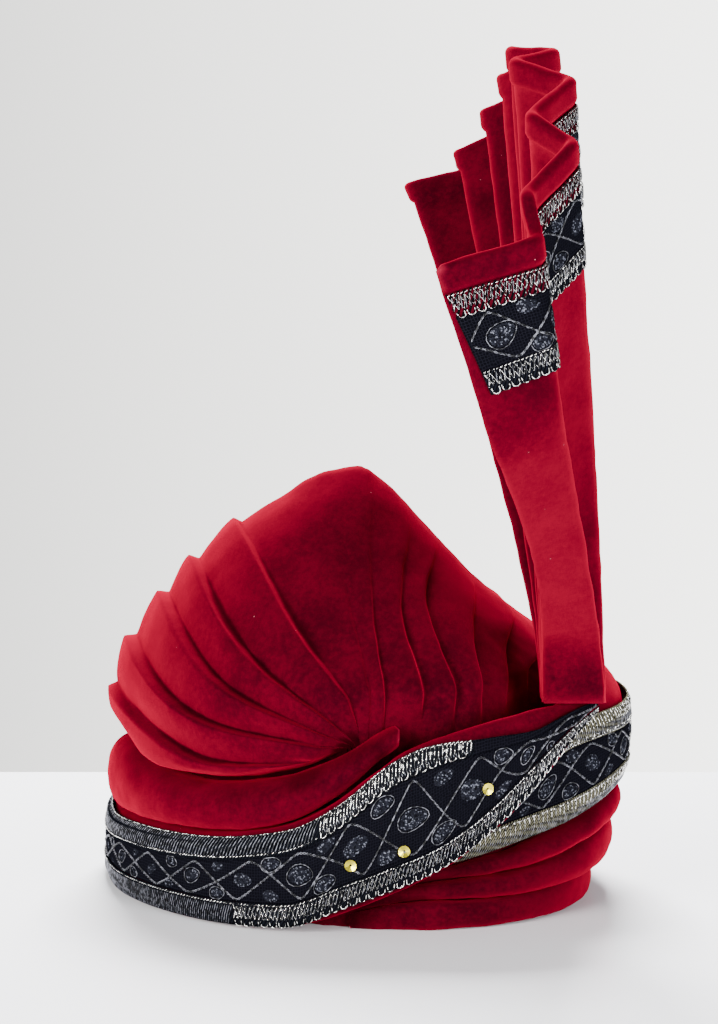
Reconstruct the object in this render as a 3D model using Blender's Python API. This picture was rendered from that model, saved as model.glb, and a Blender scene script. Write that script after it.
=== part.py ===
# Tied turban with a pleated crown, crossing lace-bordered wraps and an upright fan.
# Metres, +Z up. The turban stands on the flat underside of its rim band at Z = 0, with the
# origin in the middle of its outer box. The wearer faces -Y. A turn is an azimuth round the
# middle of the head opening, in degrees from -Y towards +X.
# The wraps lie low on one side and high on the other: a sweep is the angle from
# the low side, 0 there and 180 at the high side, alike on the near and far half.

import math
from collections import namedtuple

import bmesh
import bpy
from mathutils import Matrix, Vector

# Driving sizes
HEAD_LENGTH = 0.196          # head opening, front to back
HEAD_WIDTH = 0.164           # head opening, ear to ear
WRAPS_FRONT = 0.035          # depth of band and wraps at the forehead and the back
WRAPS_SIDE = 0.036           # the same over the ears
OUTER_LENGTH = HEAD_LENGTH + 2 * WRAPS_FRONT
OUTER_WIDTH = HEAD_WIDTH + 2 * WRAPS_SIDE
CORE_SHARE = 0.82            # outside of the rim band, as a share of the outside
BAND_HEIGHT = 0.060          # rim band
WRAP_HEIGHT = 0.104          # floor to the top of the crossing at the forehead
CROWN_CENTRE = 0.093         # height that the crown's rises are measured from
CROWN_HEIGHT = 0.113         # crown centre to crown top
CLOTH = 0.003                # wall of the crown
PLEAT_STEP = 0.0062          # how far a pleat's edge stands over the next pleat
TRIM_WIDTH = 0.0110          # metal thread trim
TRIM_THICK = 0.0015
NET_THICK = 0.0010
VELVET_EDGE = 0.0040         # bare edge of the over wrap below its lace
FAN_LENGTH = 0.298           # foot to top hem
FAN_FOOT_WIDTH = 0.028
FAN_FOOT_PITCH = 0.0020      # leaf to leaf at the foot
FAN_CLOTH = 0.0013           # doubled velvet at the foot
FAN_HEM_CLOTH = 0.0022       # the same at the hem
FAN_FOLD_BLUNT = 0.0080      # blunt fold at the hem
FAN_FOOT_TURN = 5.6          # where the fan's foot stands
FAN_FOOT_SHARE = 0.931       # how far out it stands, as a share of the outside
FAN_HEM = 0.0125             # bare hem above the fan's lace
FAN_LACE = 0.0465            # lace band on the fan
FAN_TRIM_THICK = 0.0011
SEQUIN_RADIUS = 0.00275
SEQUIN_HOLE = 0.0006
SEQUIN_THICK = 0.0005
SEQUIN_CUP = 0.0006
SEQUIN_LIFT = 0.0003         # between a sequin and the net
LACE_LIFT = 0.0007           # between a lace and the velvet under it
LACE_SLIM = 0.32             # most of a narrowing lace that one trim takes
LACE_INSET = 0.02            # share of the over wrap's height that shows above its lace
UNDER_EDGE = 0.05            # share of the under wrap's height that shows below its lace
EDGE_FULL = 0.10             # how far off the floor the over wrap shows its whole bare edge
EDGE_LEAST = 0.25            # share of the bare edge that shows where the wrap is on the floor
EDGE_MOST = 0.30             # most of the wrap's height that its bare edge takes
CLEAR = 0.0005               # between pieces that lie on each other
TUCK_CLEAR = 0.0007          # between the crown and the wraps that it is tucked behind
TUCK_RISE = 0.0014           # how far over the wraps' top the crown's cloth turns down
FAN_DENT = 0.0130            # how far the crown is pressed in behind the fan's foot
FAN_DENT_WIDTH = 17.0        # half width of that dent, in degrees
FAN_DENT_TALL = 0.028        # height over which it fades

LOW_TURN = -135.0
HIGH_TURN = 45.0
SECTION_STEP = 10.0

Outline = namedtuple("Outline", "rise low_out low_up high_out high_up")
Pleat = namedtuple("Pleat", "name foot_turn near_turn near_rise mid_turn mid_rise crest"
                            " near_step mid_step crest_step")
Wrap = namedtuple("Wrap", "sweep low high inner outer")
Folds = namedtuple("Folds", "sweep low_high mid_high top_high low_out mid_out top_out")
LaceTop = namedtuple("LaceTop", "sweep high")
Slope = namedtuple("Slope", "sweep run")
FanFold = namedtuple("FanFold", "lean tip side late")
Sequin = namedtuple("Sequin", "turn share twist")

# Crown outline over its centre. out: share of the outer half length or width; up: share of
# CROWN_HEIGHT. One pair for the low side, one for the high side.
CROWN_OUTLINE = [
    Outline(-16.0, 0.945, -0.290, 0.860, -0.290),
    Outline(0.0, 0.945, 0.000, 0.815, 0.000),
    Outline(9.0, 0.900, 0.155, 0.770, 0.140),
    Outline(17.5, 0.820, 0.290, 0.680, 0.240),
    Outline(30.0, 0.705, 0.450, 0.545, 0.355),
    Outline(43.0, 0.575, 0.605, 0.425, 0.465),
    Outline(53.0, 0.470, 0.700, 0.350, 0.555),
    Outline(64.0, 0.350, 0.800, 0.262, 0.660),
    Outline(74.0, 0.230, 0.880, 0.175, 0.775),
    Outline(85.0, 0.085, 0.945, 0.070, 0.900),
    Outline(90.0, 0.000, 0.955, 0.000, 0.955),
]

# Pleat lines of the crown's near half, from the low hem over the top to the high hem.
# Each runs from its foot behind the wraps past a near and a mid point to its crest on
# the plane through the low and high sides. crest: degrees over the top from the low side.
PLEATS = [
    Pleat("low_hem", -52.0, -62.0, -10.0, -95.0, -12.0, -12.0, 0.0, 0.0, 0.0),
    Pleat("side_five", -50.5, -58.0, -6.2, -88.0, -7.0, 1.0, 0.45, 0.90, 0.80),
    Pleat("side_four", -49.5, -56.0, -3.0, -89.0, 0.5, 13.0, 0.45, 1.00, 0.80),
    Pleat("side_three", -48.5, -55.5, -0.5, -85.0, 9.5, 26.0, 0.45, 1.00, 0.80),
    Pleat("side_two", -47.5, -54.0, 3.0, -82.0, 18.5, 38.0, 0.45, 0.90, 0.75),
    Pleat("side_one", -46.0, -48.8, 8.0, -68.0, 27.5, 53.0, 0.45, 0.80, 0.65),
    Pleat("top_smooth", -44.0, -43.5, 9.0, -53.0, 42.0, 76.0, 0.20, 0.10, 0.0),
    Pleat("gather_one", -40.0, -40.0, 9.0, -42.0, 38.0, 92.0, 0.60, 0.25, 0.0),
    Pleat("gather_two", -30.0, -30.0, 9.0, -31.0, 38.0, 106.0, 0.80, 0.40, 0.0),
    Pleat("gather_three", -22.0, -21.5, 9.5, -20.0, 40.0, 118.0, 0.80, 0.45, 0.0),
    Pleat("gather_four", -14.0, -14.5, 10.0, -4.0, 30.0, 134.0, 1.00, 0.60, 0.0),
    Pleat("gather_five", -4.0, -3.0, 10.0, 12.0, 23.0, 150.0, 0.80, 0.45, 0.0),
    Pleat("gather_six", 9.0, 11.0, 10.0, 25.0, 14.0, 162.0, 0.50, 0.30, 0.0),
    Pleat("high_hem", 22.0, 27.0, 4.0, 35.0, 5.0, 175.0, 0.0, 0.0, 0.0),
]
FOOT_DROP = 6.0              # a foot's rise below its near point
FOOT_STEP = 0.5              # a foot's step, as a share of the step at its near point
# Across one pleat: share of its width, share of the step. The last one is the raised edge.
PLEAT_SECTION = [(0.0, 0.0), (0.30, 0.45), (0.65, 0.85), (0.92, 1.0)]
LINE_STEPS = (1, 4, 4)       # mesh steps foot to near, near to mid, mid to crest

# Wraps. low and high: shares of WRAP_HEIGHT; inner and outer: shares of the outside.
OVER_WRAP = [
    Wrap(0.0, 0.000, 0.340, CORE_SHARE, 0.975),
    Wrap(17.0, 0.000, 0.360, CORE_SHARE, 0.985),
    Wrap(50.0, 0.000, 0.395, CORE_SHARE, 0.985),
    Wrap(60.0, 0.005, 0.420, CORE_SHARE, 0.985),
    Wrap(75.0, 0.030, 0.490, CORE_SHARE, 0.985),
    Wrap(87.0, 0.110, 0.640, 0.850, 0.985),
    Wrap(97.0, 0.195, 0.815, 0.862, 0.985),
    Wrap(107.0, 0.290, 0.900, 0.880, 0.985),
    Wrap(117.0, 0.445, 0.945, 0.900, 0.985),
    Wrap(127.0, 0.630, 0.980, 0.922, 0.987),
    Wrap(135.0, 0.790, 0.995, 0.942, 0.990),
    Wrap(144.0, 0.915, 0.990, 0.952, 0.990),
]
OVER_END = 144.0
UNDER_WRAP = [
    Wrap(100.0, 0.265, 0.420, CORE_SHARE, 0.842),
    Wrap(112.0, 0.290, 0.580, CORE_SHARE, 0.860),
    Wrap(123.0, 0.335, 0.760, CORE_SHARE, 0.878),
    Wrap(135.0, 0.380, 0.920, CORE_SHARE, 0.900),
    Wrap(143.0, 0.405, 0.955, CORE_SHARE, 0.918),
    Wrap(149.0, 0.440, 0.970, CORE_SHARE, 0.945),
    Wrap(157.0, 0.480, 0.980, CORE_SHARE, 0.970),
    Wrap(167.0, 0.500, 1.015, CORE_SHARE, 0.985),
    Wrap(180.0, 0.500, 1.030, CORE_SHARE, 0.985),
]
UNDER_START = 100.0
UPPER_ROLL = [
    Wrap(0.0, 0.340, 0.680, CORE_SHARE, 0.990),
    Wrap(19.0, 0.362, 0.625, CORE_SHARE, 0.990),
    Wrap(35.0, 0.380, 0.600, CORE_SHARE, 0.990),
    Wrap(50.0, 0.395, 0.610, CORE_SHARE, 0.985),
    Wrap(63.0, 0.430, 0.650, CORE_SHARE, 0.980),
    Wrap(75.0, 0.490, 0.700, CORE_SHARE, 0.970),
    Wrap(85.0, 0.618, 0.790, CORE_SHARE, 0.955),
    Wrap(93.0, 0.750, 0.880, CORE_SHARE, 0.940),
    Wrap(98.0, 0.832, 0.930, CORE_SHARE, 0.920),
]
ROLL_END = 98.0
# Plain folds below the under wrap: their shared edges as shares of WRAP_HEIGHT, and the
# outside of each as a share of the outside. top_high is the lower edge of the under wrap.
LOWER_FOLDS = [
    Folds(86.0, 0.070, 0.095, 0.120, 0.835, 0.833, 0.833),
    Folds(94.0, 0.110, 0.160, 0.200, 0.860, 0.850, 0.842),
    Folds(104.0, 0.140, 0.220, 0.260, 0.885, 0.880, 0.860),
    Folds(116.0, 0.125, 0.225, 0.300, 0.905, 0.910, 0.880),
    Folds(130.0, 0.130, 0.250, 0.355, 0.900, 0.935, 0.930),
    Folds(150.0, 0.140, 0.320, 0.440, 0.875, 0.940, 0.960),
    Folds(165.0, 0.150, 0.350, 0.495, 0.865, 0.940, 0.970),
    Folds(180.0, 0.150, 0.360, 0.500, 0.860, 0.940, 0.970),
]
FOLD_START = 86.0
# Upper edge of the lace on the under wrap, as a share of WRAP_HEIGHT
UNDER_LACE_TOP = [LaceTop(100.0, 0.40), LaceTop(112.0, 0.55), LaceTop(125.0, 0.72),
                  LaceTop(136.0, 0.82), LaceTop(142.0, 0.87), LaceTop(152.0, 0.89),
                  LaceTop(180.0, 0.90)]
# Across a wrap, from its lower edge: share of its height, share of its thickness
OVER_SECTION = [(0.0, 0.86), (0.05, 0.94), (0.18, 0.99), (0.45, 1.0), (0.72, 0.98), (0.90, 0.92),
                (1.0, 0.74)]
UNDER_SECTION = [(0.0, 0.50), (0.06, 0.80), (0.20, 0.94), (0.45, 1.0), (0.72, 0.96), (0.90, 0.74),
                 (1.0, 0.38)]
ROLL_SECTION = [(0.0, 0.72), (0.12, 0.90), (0.35, 1.0), (0.62, 0.97), (0.86, 0.80), (1.0, 0.50)]
FOLD_SECTION = [(0.0, 0.64), (0.12, 0.85), (0.35, 1.0), (0.62, 0.99), (0.86, 0.90), (1.0, 0.70)]
# Across the rim band: share of its wall from the head outward, share of its height
BAND_SECTION = [(0.10, 0.0), (0.90, 0.0), (1.0, 0.06), (1.0, 0.92), (0.75, 1.0), (0.25, 1.0),
                (0.0, 0.92), (0.0, 0.06)]
TRIM_POINTS = 4              # points across a trim and across a net
NET_POINTS = 5
# How fast the crown swells out above the wraps: run over rise
TUCK_SLOPES = [Slope(0.0, 5.0), Slope(60.0, 5.0), Slope(80.0, 2.5), Slope(96.0, 0.7),
               Slope(180.0, 0.7)]
TUCK_EASE = 0.0020           # height over which the crown's cloth turns over the wraps' top

# Fold lines of the fan from its near leaf to its far leaf. lean: degrees from upright in its
# body; tip: the same at its hem; side: share of FAN_LENGTH at the hem; late: the power of the
# level with which a fold opens sideways. Left and right folds take turns.
FAN_FOLDS = [
    FanFold(53.4, 14.0, -0.227, 1.95), FanFold(48.9, 14.0, -0.081, 1.10),
    FanFold(40.2, 20.0, -0.094, 1.60), FanFold(30.4, 20.0, -0.026, 1.20),
    FanFold(24.6, 17.0, -0.083, 1.60), FanFold(15.0, 13.0, -0.021, 1.20),
    FanFold(7.5, 7.5, -0.099, 1.60), FanFold(1.0, 1.0, -0.037, 1.20),
    FanFold(-5.6, -5.6, -0.098, 1.50), FanFold(-13.5, -13.5, -0.036, 1.20),
    FanFold(-21.4, -21.4, -0.104, 1.40), FanFold(-26.2, -26.2, -0.052, 1.20),
    FanFold(-30.9, -30.9, -0.128, 1.40), FanFold(-35.1, -35.1, -0.084, 1.20),
    FanFold(-39.3, -39.3, -0.168, 1.30), FanFold(-41.9, -41.9, -0.120, 1.20),
    FanFold(-45.1, -45.1, -0.248, 1.30), FanFold(-47.7, -47.7, -0.168, 1.20),
]
FAN_BEND = 0.14              # level below which a leaf bends out from upright to its lean
FAN_TURN = 0.66              # level at which a leaf starts to turn from its lean to its tip
FAN_TURN_SPAN = 0.16         # levels that this takes
FAN_PATH_STEPS = 50
FAN_BODY_LEVELS = (0.0, 0.14, 0.66)

# Sequins on the over wrap's net: turn, share of the net's height, twist
SEQUINS = [Sequin(-48.0, 0.28, 20.0), Sequin(-37.0, 0.14, -35.0), Sequin(-20.0, 0.40, 5.0)]
SEQUIN_SIDES = 12

MATERIALS = {                # colour, roughness, metallic
    "crimson_velvet": ((0.46, 0.006, 0.018), 0.85, 0.0),
    "black_net": ((0.012, 0.012, 0.015), 0.60, 0.0),
    "silver_thread": ((0.52, 0.51, 0.50), 0.38, 0.9),
    "pale_gold": ((0.86, 0.74, 0.38), 0.25, 1.0),
}


def clear_scene():
    for old in list(bpy.data.objects):
        bpy.data.objects.remove(old, do_unlink=True)


def material(name):
    found = bpy.data.materials.get(name)
    if found:
        return found
    colour, roughness, metallic = MATERIALS[name]
    new = bpy.data.materials.new(name)
    new.use_nodes = True
    shader = new.node_tree.nodes["Principled BSDF"]
    shader.inputs["Base Color"].default_value = (*colour, 1.0)
    shader.inputs["Roughness"].default_value = roughness
    shader.inputs["Metallic"].default_value = metallic
    return new


def add_object(name, points, faces, finish):
    """One closed mesh from its points and faces, with its faces turned outward."""
    mesh = bpy.data.meshes.new(name)
    mesh.from_pydata([tuple(p) for p in points], [], faces)
    shell = bmesh.new()
    shell.from_mesh(mesh)
    bmesh.ops.recalc_face_normals(shell, faces=shell.faces)
    shell.to_mesh(mesh)
    shell.free()
    mesh.materials.append(material(finish))
    mesh.shade_smooth()
    mesh.set_sharp_from_angle(angle=math.radians(40))
    new = bpy.data.objects.new(name, mesh)
    bpy.context.scene.collection.objects.link(new)
    return new


def smooth_slope(table, k, column):
    """Slope at a row of a table, level at its ends and where the values turn back."""
    if k <= 0 or k >= len(table) - 1:
        return 0.0
    before = (table[k][column] - table[k - 1][column]) / (table[k][0] - table[k - 1][0])
    after = (table[k + 1][column] - table[k][column]) / (table[k + 1][0] - table[k][0])
    if before * after <= 0:
        return 0.0
    return 2 * before * after / (before + after)


def smooth_at(table, where):
    """Row of a table at a place between its rows, on a smooth curve with no overshoot."""
    where = min(max(where, table[0][0]), table[-1][0])
    i = max(k for k in range(len(table) - 1) if table[k][0] <= where)
    span = table[i + 1][0] - table[i][0]
    u = (where - table[i][0]) / span
    ease = 3 * u * u - 2 * u ** 3
    lead = u ** 3 - 2 * u * u + u
    trail = u ** 3 - u * u
    values = []
    for column in range(1, len(table[0])):
        a, b = table[i][column], table[i + 1][column]
        slopes = smooth_slope(table, i, column) * lead + smooth_slope(table, i + 1, column) * trail
        values.append(a + (b - a) * ease + span * slopes)
    return type(table[0])(where, *values)


def linear_at(pairs, where):
    for (a, va), (b, vb) in zip(pairs, pairs[1:]):
        if where <= b:
            return va + (vb - va) * max(0.0, where - a) / (b - a)
    return pairs[-1][1]


def oval(turn, length, width):
    angle = math.radians(turn)
    return 1 / math.hypot(math.sin(angle) / (width / 2), math.cos(angle) / (length / 2))


def outside(turn):
    return oval(turn, OUTER_LENGTH, OUTER_WIDTH)


def head(turn):
    return oval(turn, HEAD_LENGTH, HEAD_WIDTH)


def core(turn):
    return outside(turn) * CORE_SHARE


def place(turn, radius, height):
    angle = math.radians(turn)
    return Vector((radius * math.sin(angle), -radius * math.cos(angle), height))


def sweep_of(turn):
    off = (turn - HIGH_TURN + 180.0) % 360.0 - 180.0
    return 180.0 - abs(off)


def turns_low(end_sweep):
    """Section turns of a piece that passes the low side and ends at a sweep on both halves."""
    half = SECTION_STEP / 2
    sweeps = []
    while half < end_sweep - SECTION_STEP / 4:
        sweeps.append(half)
        half += SECTION_STEP
    sweeps.append(end_sweep)
    return [LOW_TURN + s for s in reversed(sweeps)] + [LOW_TURN - s for s in sweeps]


def turns_high(start_sweep):
    """Section turns of a piece that passes the high side and starts at a sweep on both halves."""
    reach = 180.0 - start_sweep
    offs = [0.0]
    while offs[-1] + SECTION_STEP < reach - SECTION_STEP / 4:
        offs.append(offs[-1] + SECTION_STEP)
    offs.append(reach)
    return [HIGH_TURN - o for o in reversed(offs)] + [HIGH_TURN + o for o in offs[1:]]


def loft(name, rings, finish, closed=False, sheet=False):
    """Closed solid through rings of points, all with as many points.

    In a sheet the second half of a ring runs back beside the first, and both are creased alike.
    """
    count = len(rings[0])
    points = [p for ring in rings for p in ring]
    faces = []
    last = len(rings) if closed else len(rings) - 1
    for i in range(last):
        a = i * count
        b = (i + 1) % len(rings) * count
        for k in range(count):
            n = (k + 1) % count
            quad = (a + k, a + n, b + n, b + k)
            if not sheet:
                faces.append(quad)
            elif k < count // 2:
                faces += [(quad[0], quad[1], quad[2]), (quad[0], quad[2], quad[3])]
            else:
                faces += [(quad[0], quad[1], quad[3]), (quad[1], quad[2], quad[3])]
    if not closed:
        faces.append(tuple(range(count)))
        faces.append(tuple(range(len(points) - count, len(points))))
    return add_object(name, points, faces, finish)


def wrap_face(row, section, share, turn):
    """Radius and height on a wrap's outer face, at a share of the wrap's height."""
    swell = linear_at(section, share)
    radius = outside(turn) * (row.inner + (row.outer - row.inner) * swell)
    return radius, (row.low + (row.high - row.low) * share) * WRAP_HEIGHT


def wrap_ring(row, section, turn, base=0.0):
    """One section of a wrap: its outer face, then its flat inner face."""
    ring = []
    for share, _ in section:
        radius, height = wrap_face(row, section, share, turn)
        ring.append(place(turn, radius, height + base * (1 - share)))
    face = outside(turn) * row.inner + CLEAR
    ring.append(place(turn, face, row.high * WRAP_HEIGHT))
    ring.append(place(turn, face, row.low * WRAP_HEIGHT + base))
    return ring


def over_row(turn):
    return smooth_at(OVER_WRAP, sweep_of(turn))


def under_row(turn):
    return smooth_at(UNDER_WRAP, sweep_of(turn))


def roll_row(turn):
    return smooth_at(UPPER_ROLL, sweep_of(turn))


def wraps_top(turn):
    """Height of the highest wrap edge at a turn."""
    sweep = sweep_of(turn)
    tops = [0.0]
    if sweep <= OVER_END + SECTION_STEP:
        tops.append(over_row(turn).high)
    if sweep >= UNDER_START:
        tops.append(under_row(turn).high)
    if sweep <= ROLL_END + SECTION_STEP:
        tops.append(roll_row(turn).high)
    return max(tops) * WRAP_HEIGHT


def make_rim_band():
    rings = []
    for step in range(int(360 / SECTION_STEP)):
        turn = HIGH_TURN + step * SECTION_STEP
        inner, outer = head(turn), core(turn) - CLEAR
        rings.append([place(turn, inner + (outer - inner) * across, up * BAND_HEIGHT)
                      for across, up in BAND_SECTION])
    return loft("rim_band", rings, "crimson_velvet", closed=True)


def make_wraps():
    rings = [wrap_ring(over_row(t), OVER_SECTION, t) for t in turns_low(OVER_END)]
    loft("wrap_over", rings, "crimson_velvet")
    rings = [wrap_ring(under_row(t), UNDER_SECTION, t, base=CLEAR) for t in turns_high(UNDER_START)]
    loft("wrap_under", rings, "crimson_velvet")
    rings = [wrap_ring(roll_row(t), ROLL_SECTION, t, base=CLEAR) for t in turns_low(ROLL_END)]
    loft("roll_upper", rings, "crimson_velvet")


def make_lower_folds():
    for i, name in enumerate(("fold_low", "fold_mid", "fold_top")):
        rings = []
        for turn in turns_high(FOLD_START):
            row = smooth_at(LOWER_FOLDS, sweep_of(turn))
            edges = (0.0, row.low_high, row.mid_high, row.top_high)
            outs = (row.low_out, row.mid_out, row.top_out)
            fold = Wrap(row.sweep, edges[i], edges[i + 1], CORE_SHARE, outs[i])
            rings.append(wrap_ring(fold, FOLD_SECTION, turn, base=CLEAR if i else 0.0))
        loft(name, rings, "crimson_velvet")


def strip_ring(row, section, turn, start, end, count, thick):
    """Section of a thin strip on a wrap's outer face between two shares of the height."""
    shares = [start] + [s for s, _ in section if start < s < end] + [end]
    while len(shares) < count:
        gaps = [b - a for a, b in zip(shares, shares[1:])]
        widest = gaps.index(max(gaps))
        shares.insert(widest + 1, shares[widest] + gaps[widest] / 2)
    while len(shares) > count:
        gaps = [b - a for a, b in zip(shares, shares[2:])]
        shares.pop(gaps.index(min(gaps)) + 1)
    near, far = [], []
    for share in shares:
        radius, height = wrap_face(row, section, share, turn)
        near.append(place(turn, radius + LACE_LIFT, height))
        far.append(place(turn, radius + LACE_LIFT + thick, height))
    return near + far[::-1]


def lace_shares(row, lace_low, lace_high):
    """Shares of the wrap's height at the lace's lower edge, trims' inner edges and upper edge."""
    tall = (row.high - row.low) * WRAP_HEIGHT
    trim = min(TRIM_WIDTH / tall, LACE_SLIM * (lace_high - lace_low))
    return lace_low, lace_low + trim, lace_high - trim, lace_high


def over_lace(turn):
    row = over_row(turn)
    tall = (row.high - row.low) * WRAP_HEIGHT
    shown = min(1.0, max(EDGE_LEAST, row.low / EDGE_FULL))
    bare = min(VELVET_EDGE * shown / tall, EDGE_MOST)
    return row, lace_shares(row, bare, 1.0 - LACE_INSET)


def under_lace(turn):
    row = under_row(turn)
    top = smooth_at(UNDER_LACE_TOP, row.sweep).high
    return row, lace_shares(row, UNDER_EDGE, min(1.0, (top - row.low) / (row.high - row.low)))


def make_lace(kind, turns, lace, section):
    parts = [("trim_%s_lower" % kind, 0, "silver_thread", TRIM_POINTS, TRIM_THICK),
             ("lace_%s_net" % kind, 1, "black_net", NET_POINTS, NET_THICK),
             ("trim_%s_upper" % kind, 2, "silver_thread", TRIM_POINTS, TRIM_THICK)]
    for name, first, finish, count, thick in parts:
        rings = []
        for turn in turns:
            row, marks = lace(turn)
            tall = (row.high - row.low) * WRAP_HEIGHT
            start = marks[first] + (CLEAR / tall if first else 0.0)
            rings.append(strip_ring(row, section, turn, start, marks[first + 1], count, thick))
        loft(name, rings, finish)


def direction(turn, rise):
    a, e = math.radians(turn), math.radians(rise)
    return Vector((math.cos(e) * math.sin(a), -math.cos(e) * math.cos(a), math.sin(e)))


def mirrored(way):
    """The same direction on the far half, across the plane through the low and high sides."""
    normal = direction(HIGH_TURN - 90.0, 0.0)
    return way - 2 * way.dot(normal) * normal


def line_ways(pleat):
    """Directions along one pleat line, foot to crest and on down the far half to its foot."""
    knots = [direction(pleat.foot_turn, pleat.near_rise - FOOT_DROP),
             direction(pleat.near_turn, pleat.near_rise),
             direction(pleat.mid_turn, pleat.mid_rise), direction(LOW_TURN, pleat.crest)]
    knots += [mirrored(k) for k in knots[2::-1]]
    counts = list(LINE_STEPS) + list(LINE_STEPS)[::-1]
    ways = []
    for i, count in enumerate(counts):
        before = knots[i - 1] if i else knots[0] * 2 - knots[1]
        a, b = knots[i], knots[i + 1]
        after = knots[i + 2] if i + 2 < len(knots) else b * 2 - a
        for k in range(count):
            u = k / count
            mix = 0.5 * ((2 * a) + (b - before) * u + (2 * before - 5 * a + 4 * b - after) * u * u
                         + (3 * a - before - 3 * b + after) * u ** 3)
            ways.append(mix.normalized())
    ways.append(knots[-1])
    return ways


def line_steps(pleat):
    """Share of the pleat step along one line, on the same places as its directions."""
    near, mid, crest = pleat.near_step, pleat.mid_step, pleat.crest_step
    marks = [FOOT_STEP * near, near, mid, crest, mid, near, FOOT_STEP * near]
    counts = list(LINE_STEPS) + list(LINE_STEPS)[::-1]
    steps = []
    for i, count in enumerate(counts):
        steps += [marks[i] + (marks[i + 1] - marks[i]) * k / count for k in range(count)]
    return steps + [marks[-1]]


def turn_of(way):
    return math.degrees(math.atan2(way.x, -way.y))


def fan_dent(turn, over):
    """How far the crown is pressed in behind the fan's foot, at a height over the wraps."""
    out, forward = fan_axes()
    foot = fan_foot()
    inner_leaf = foot - forward * FAN_FOOT_PITCH * len(FAN_FOLDS) / 2 - out * FAN_FOOT_WIDTH / 2
    middle = turn_of(inner_leaf)
    off = (turn - middle) / FAN_DENT_WIDTH
    return FAN_DENT * math.exp(-off * off) * max(0.0, 1 - (over / FAN_DENT_TALL) ** 2)


def tuck_line(turn, inward):
    """Point where the crown's cloth turns down behind the wraps."""
    radius = core(turn) - TUCK_CLEAR - fan_dent(turn, 0.0) - inward
    return place(turn, radius, wraps_top(turn) + TUCK_RISE)


def crown_point(way, proud):
    """Point on the crown's cloth in a direction, standing proud of its even surface."""
    turn = turn_of(way)
    rise = math.degrees(math.asin(max(-1.0, min(1.0, way.z))))
    row = smooth_at(CROWN_OUTLINE, rise)
    high = (1 - math.cos(math.radians(turn - LOW_TURN))) / 2
    out = row.low_out + (row.high_out - row.low_out) * high
    up = row.low_up + (row.high_up - row.low_up) * high
    radius = out * outside(turn) + proud * math.cos(math.radians(rise))
    height = CROWN_CENTRE + up * CROWN_HEIGHT + proud * math.sin(math.radians(rise))
    tuck = wraps_top(turn) + TUCK_RISE
    over = TUCK_EASE * math.log1p(math.exp((height - tuck) / TUCK_EASE))
    slope = smooth_at(TUCK_SLOPES, sweep_of(turn)).run
    limit = core(turn) - TUCK_CLEAR + slope * over + min(0.0, proud)
    return place(turn, min(radius, limit) - fan_dent(turn, over), tuck + over)


def make_crown():
    """Two grids, outer with its pleats and inner even, joined by a skirt behind the wraps."""
    ways, lifts = [], []
    for pleat, after in zip(PLEATS, PLEATS[1:]):
        steps = line_steps(after)
        for share, lift in PLEAT_SECTION:
            pair = zip(line_ways(pleat), line_ways(after))
            ways.append([(a * (1 - share) + b * share).normalized() for a, b in pair])
            lifts.append([s * lift * PLEAT_STEP for s in steps])
    ways.append(line_ways(PLEATS[-1]))
    lifts.append([0.0] * len(ways[-1]))
    rows, columns = len(ways), len(ways[0])
    border = [(0, k) for k in range(columns)]
    border += [(i, columns - 1) for i in range(1, rows)]
    border += [(rows - 1, k) for k in range(columns - 2, -1, -1)]
    border += [(i, 0) for i in range(rows - 2, 0, -1)]
    edge = set(border)
    points, faces = [], []
    for inward in (0.0, CLOTH):
        for i in range(rows):
            for k in range(columns):
                if (i, k) in edge:
                    points.append(tuck_line(turn_of(ways[i][k]), inward))
                else:
                    points.append(crown_point(ways[i][k], -inward if inward else lifts[i][k]))
    grid = rows * columns
    for i in range(rows - 1):
        for k in range(columns - 1):
            a = i * columns + k
            quad = (a, a + 1, a + columns + 1, a + columns)
            faces.append(quad)
            faces.append(tuple(grid + v for v in reversed(quad)))
    skirts = []
    for inward, first in ((0.0, 0), (CLOTH, grid)):
        skirts.append(([first + i * columns + k for i, k in border], len(points)))
        for i, k in border:
            turn = turn_of(ways[i][k])
            radius = core(turn) - TUCK_CLEAR - fan_dent(turn, 0.0) - inward
            points.append(place(turn, radius, BAND_HEIGHT + CLEAR))
    count = len(border)
    for k in range(count):
        n = (k + 1) % count
        for loop, low in skirts:
            faces.append((loop[k], loop[n], low + n, low + k))
        faces.append((skirts[0][1] + k, skirts[0][1] + n, skirts[1][1] + n, skirts[1][1] + k))
    return add_object("crown", points, faces, "crimson_velvet")


def fan_axes():
    return direction(HIGH_TURN, 0.0), direction(HIGH_TURN - 90.0, 0.0)


def fan_foot():
    """Middle of the fan's foot, on top of the wraps."""
    radius = outside(FAN_FOOT_TURN) * FAN_FOOT_SHARE
    return place(FAN_FOOT_TURN, radius, wraps_top(FAN_FOOT_TURN) + CLEAR)


def fan_path(fold, level):
    """Depth and height along a fold from its foot to a level."""
    steps = max(1, round(level * FAN_PATH_STEPS))
    depth = height = 0.0
    for k in range(steps):
        at = (k + 0.5) * level / steps
        turned = min(1.0, max(0.0, (at - FAN_TURN) / FAN_TURN_SPAN))
        lean = fold.lean * min(1.0, at / FAN_BEND) + (fold.tip - fold.lean) * turned
        depth += math.sin(math.radians(lean)) * FAN_LENGTH * level / steps
        height += math.cos(math.radians(lean)) * FAN_LENGTH * level / steps
    return depth, height


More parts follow.
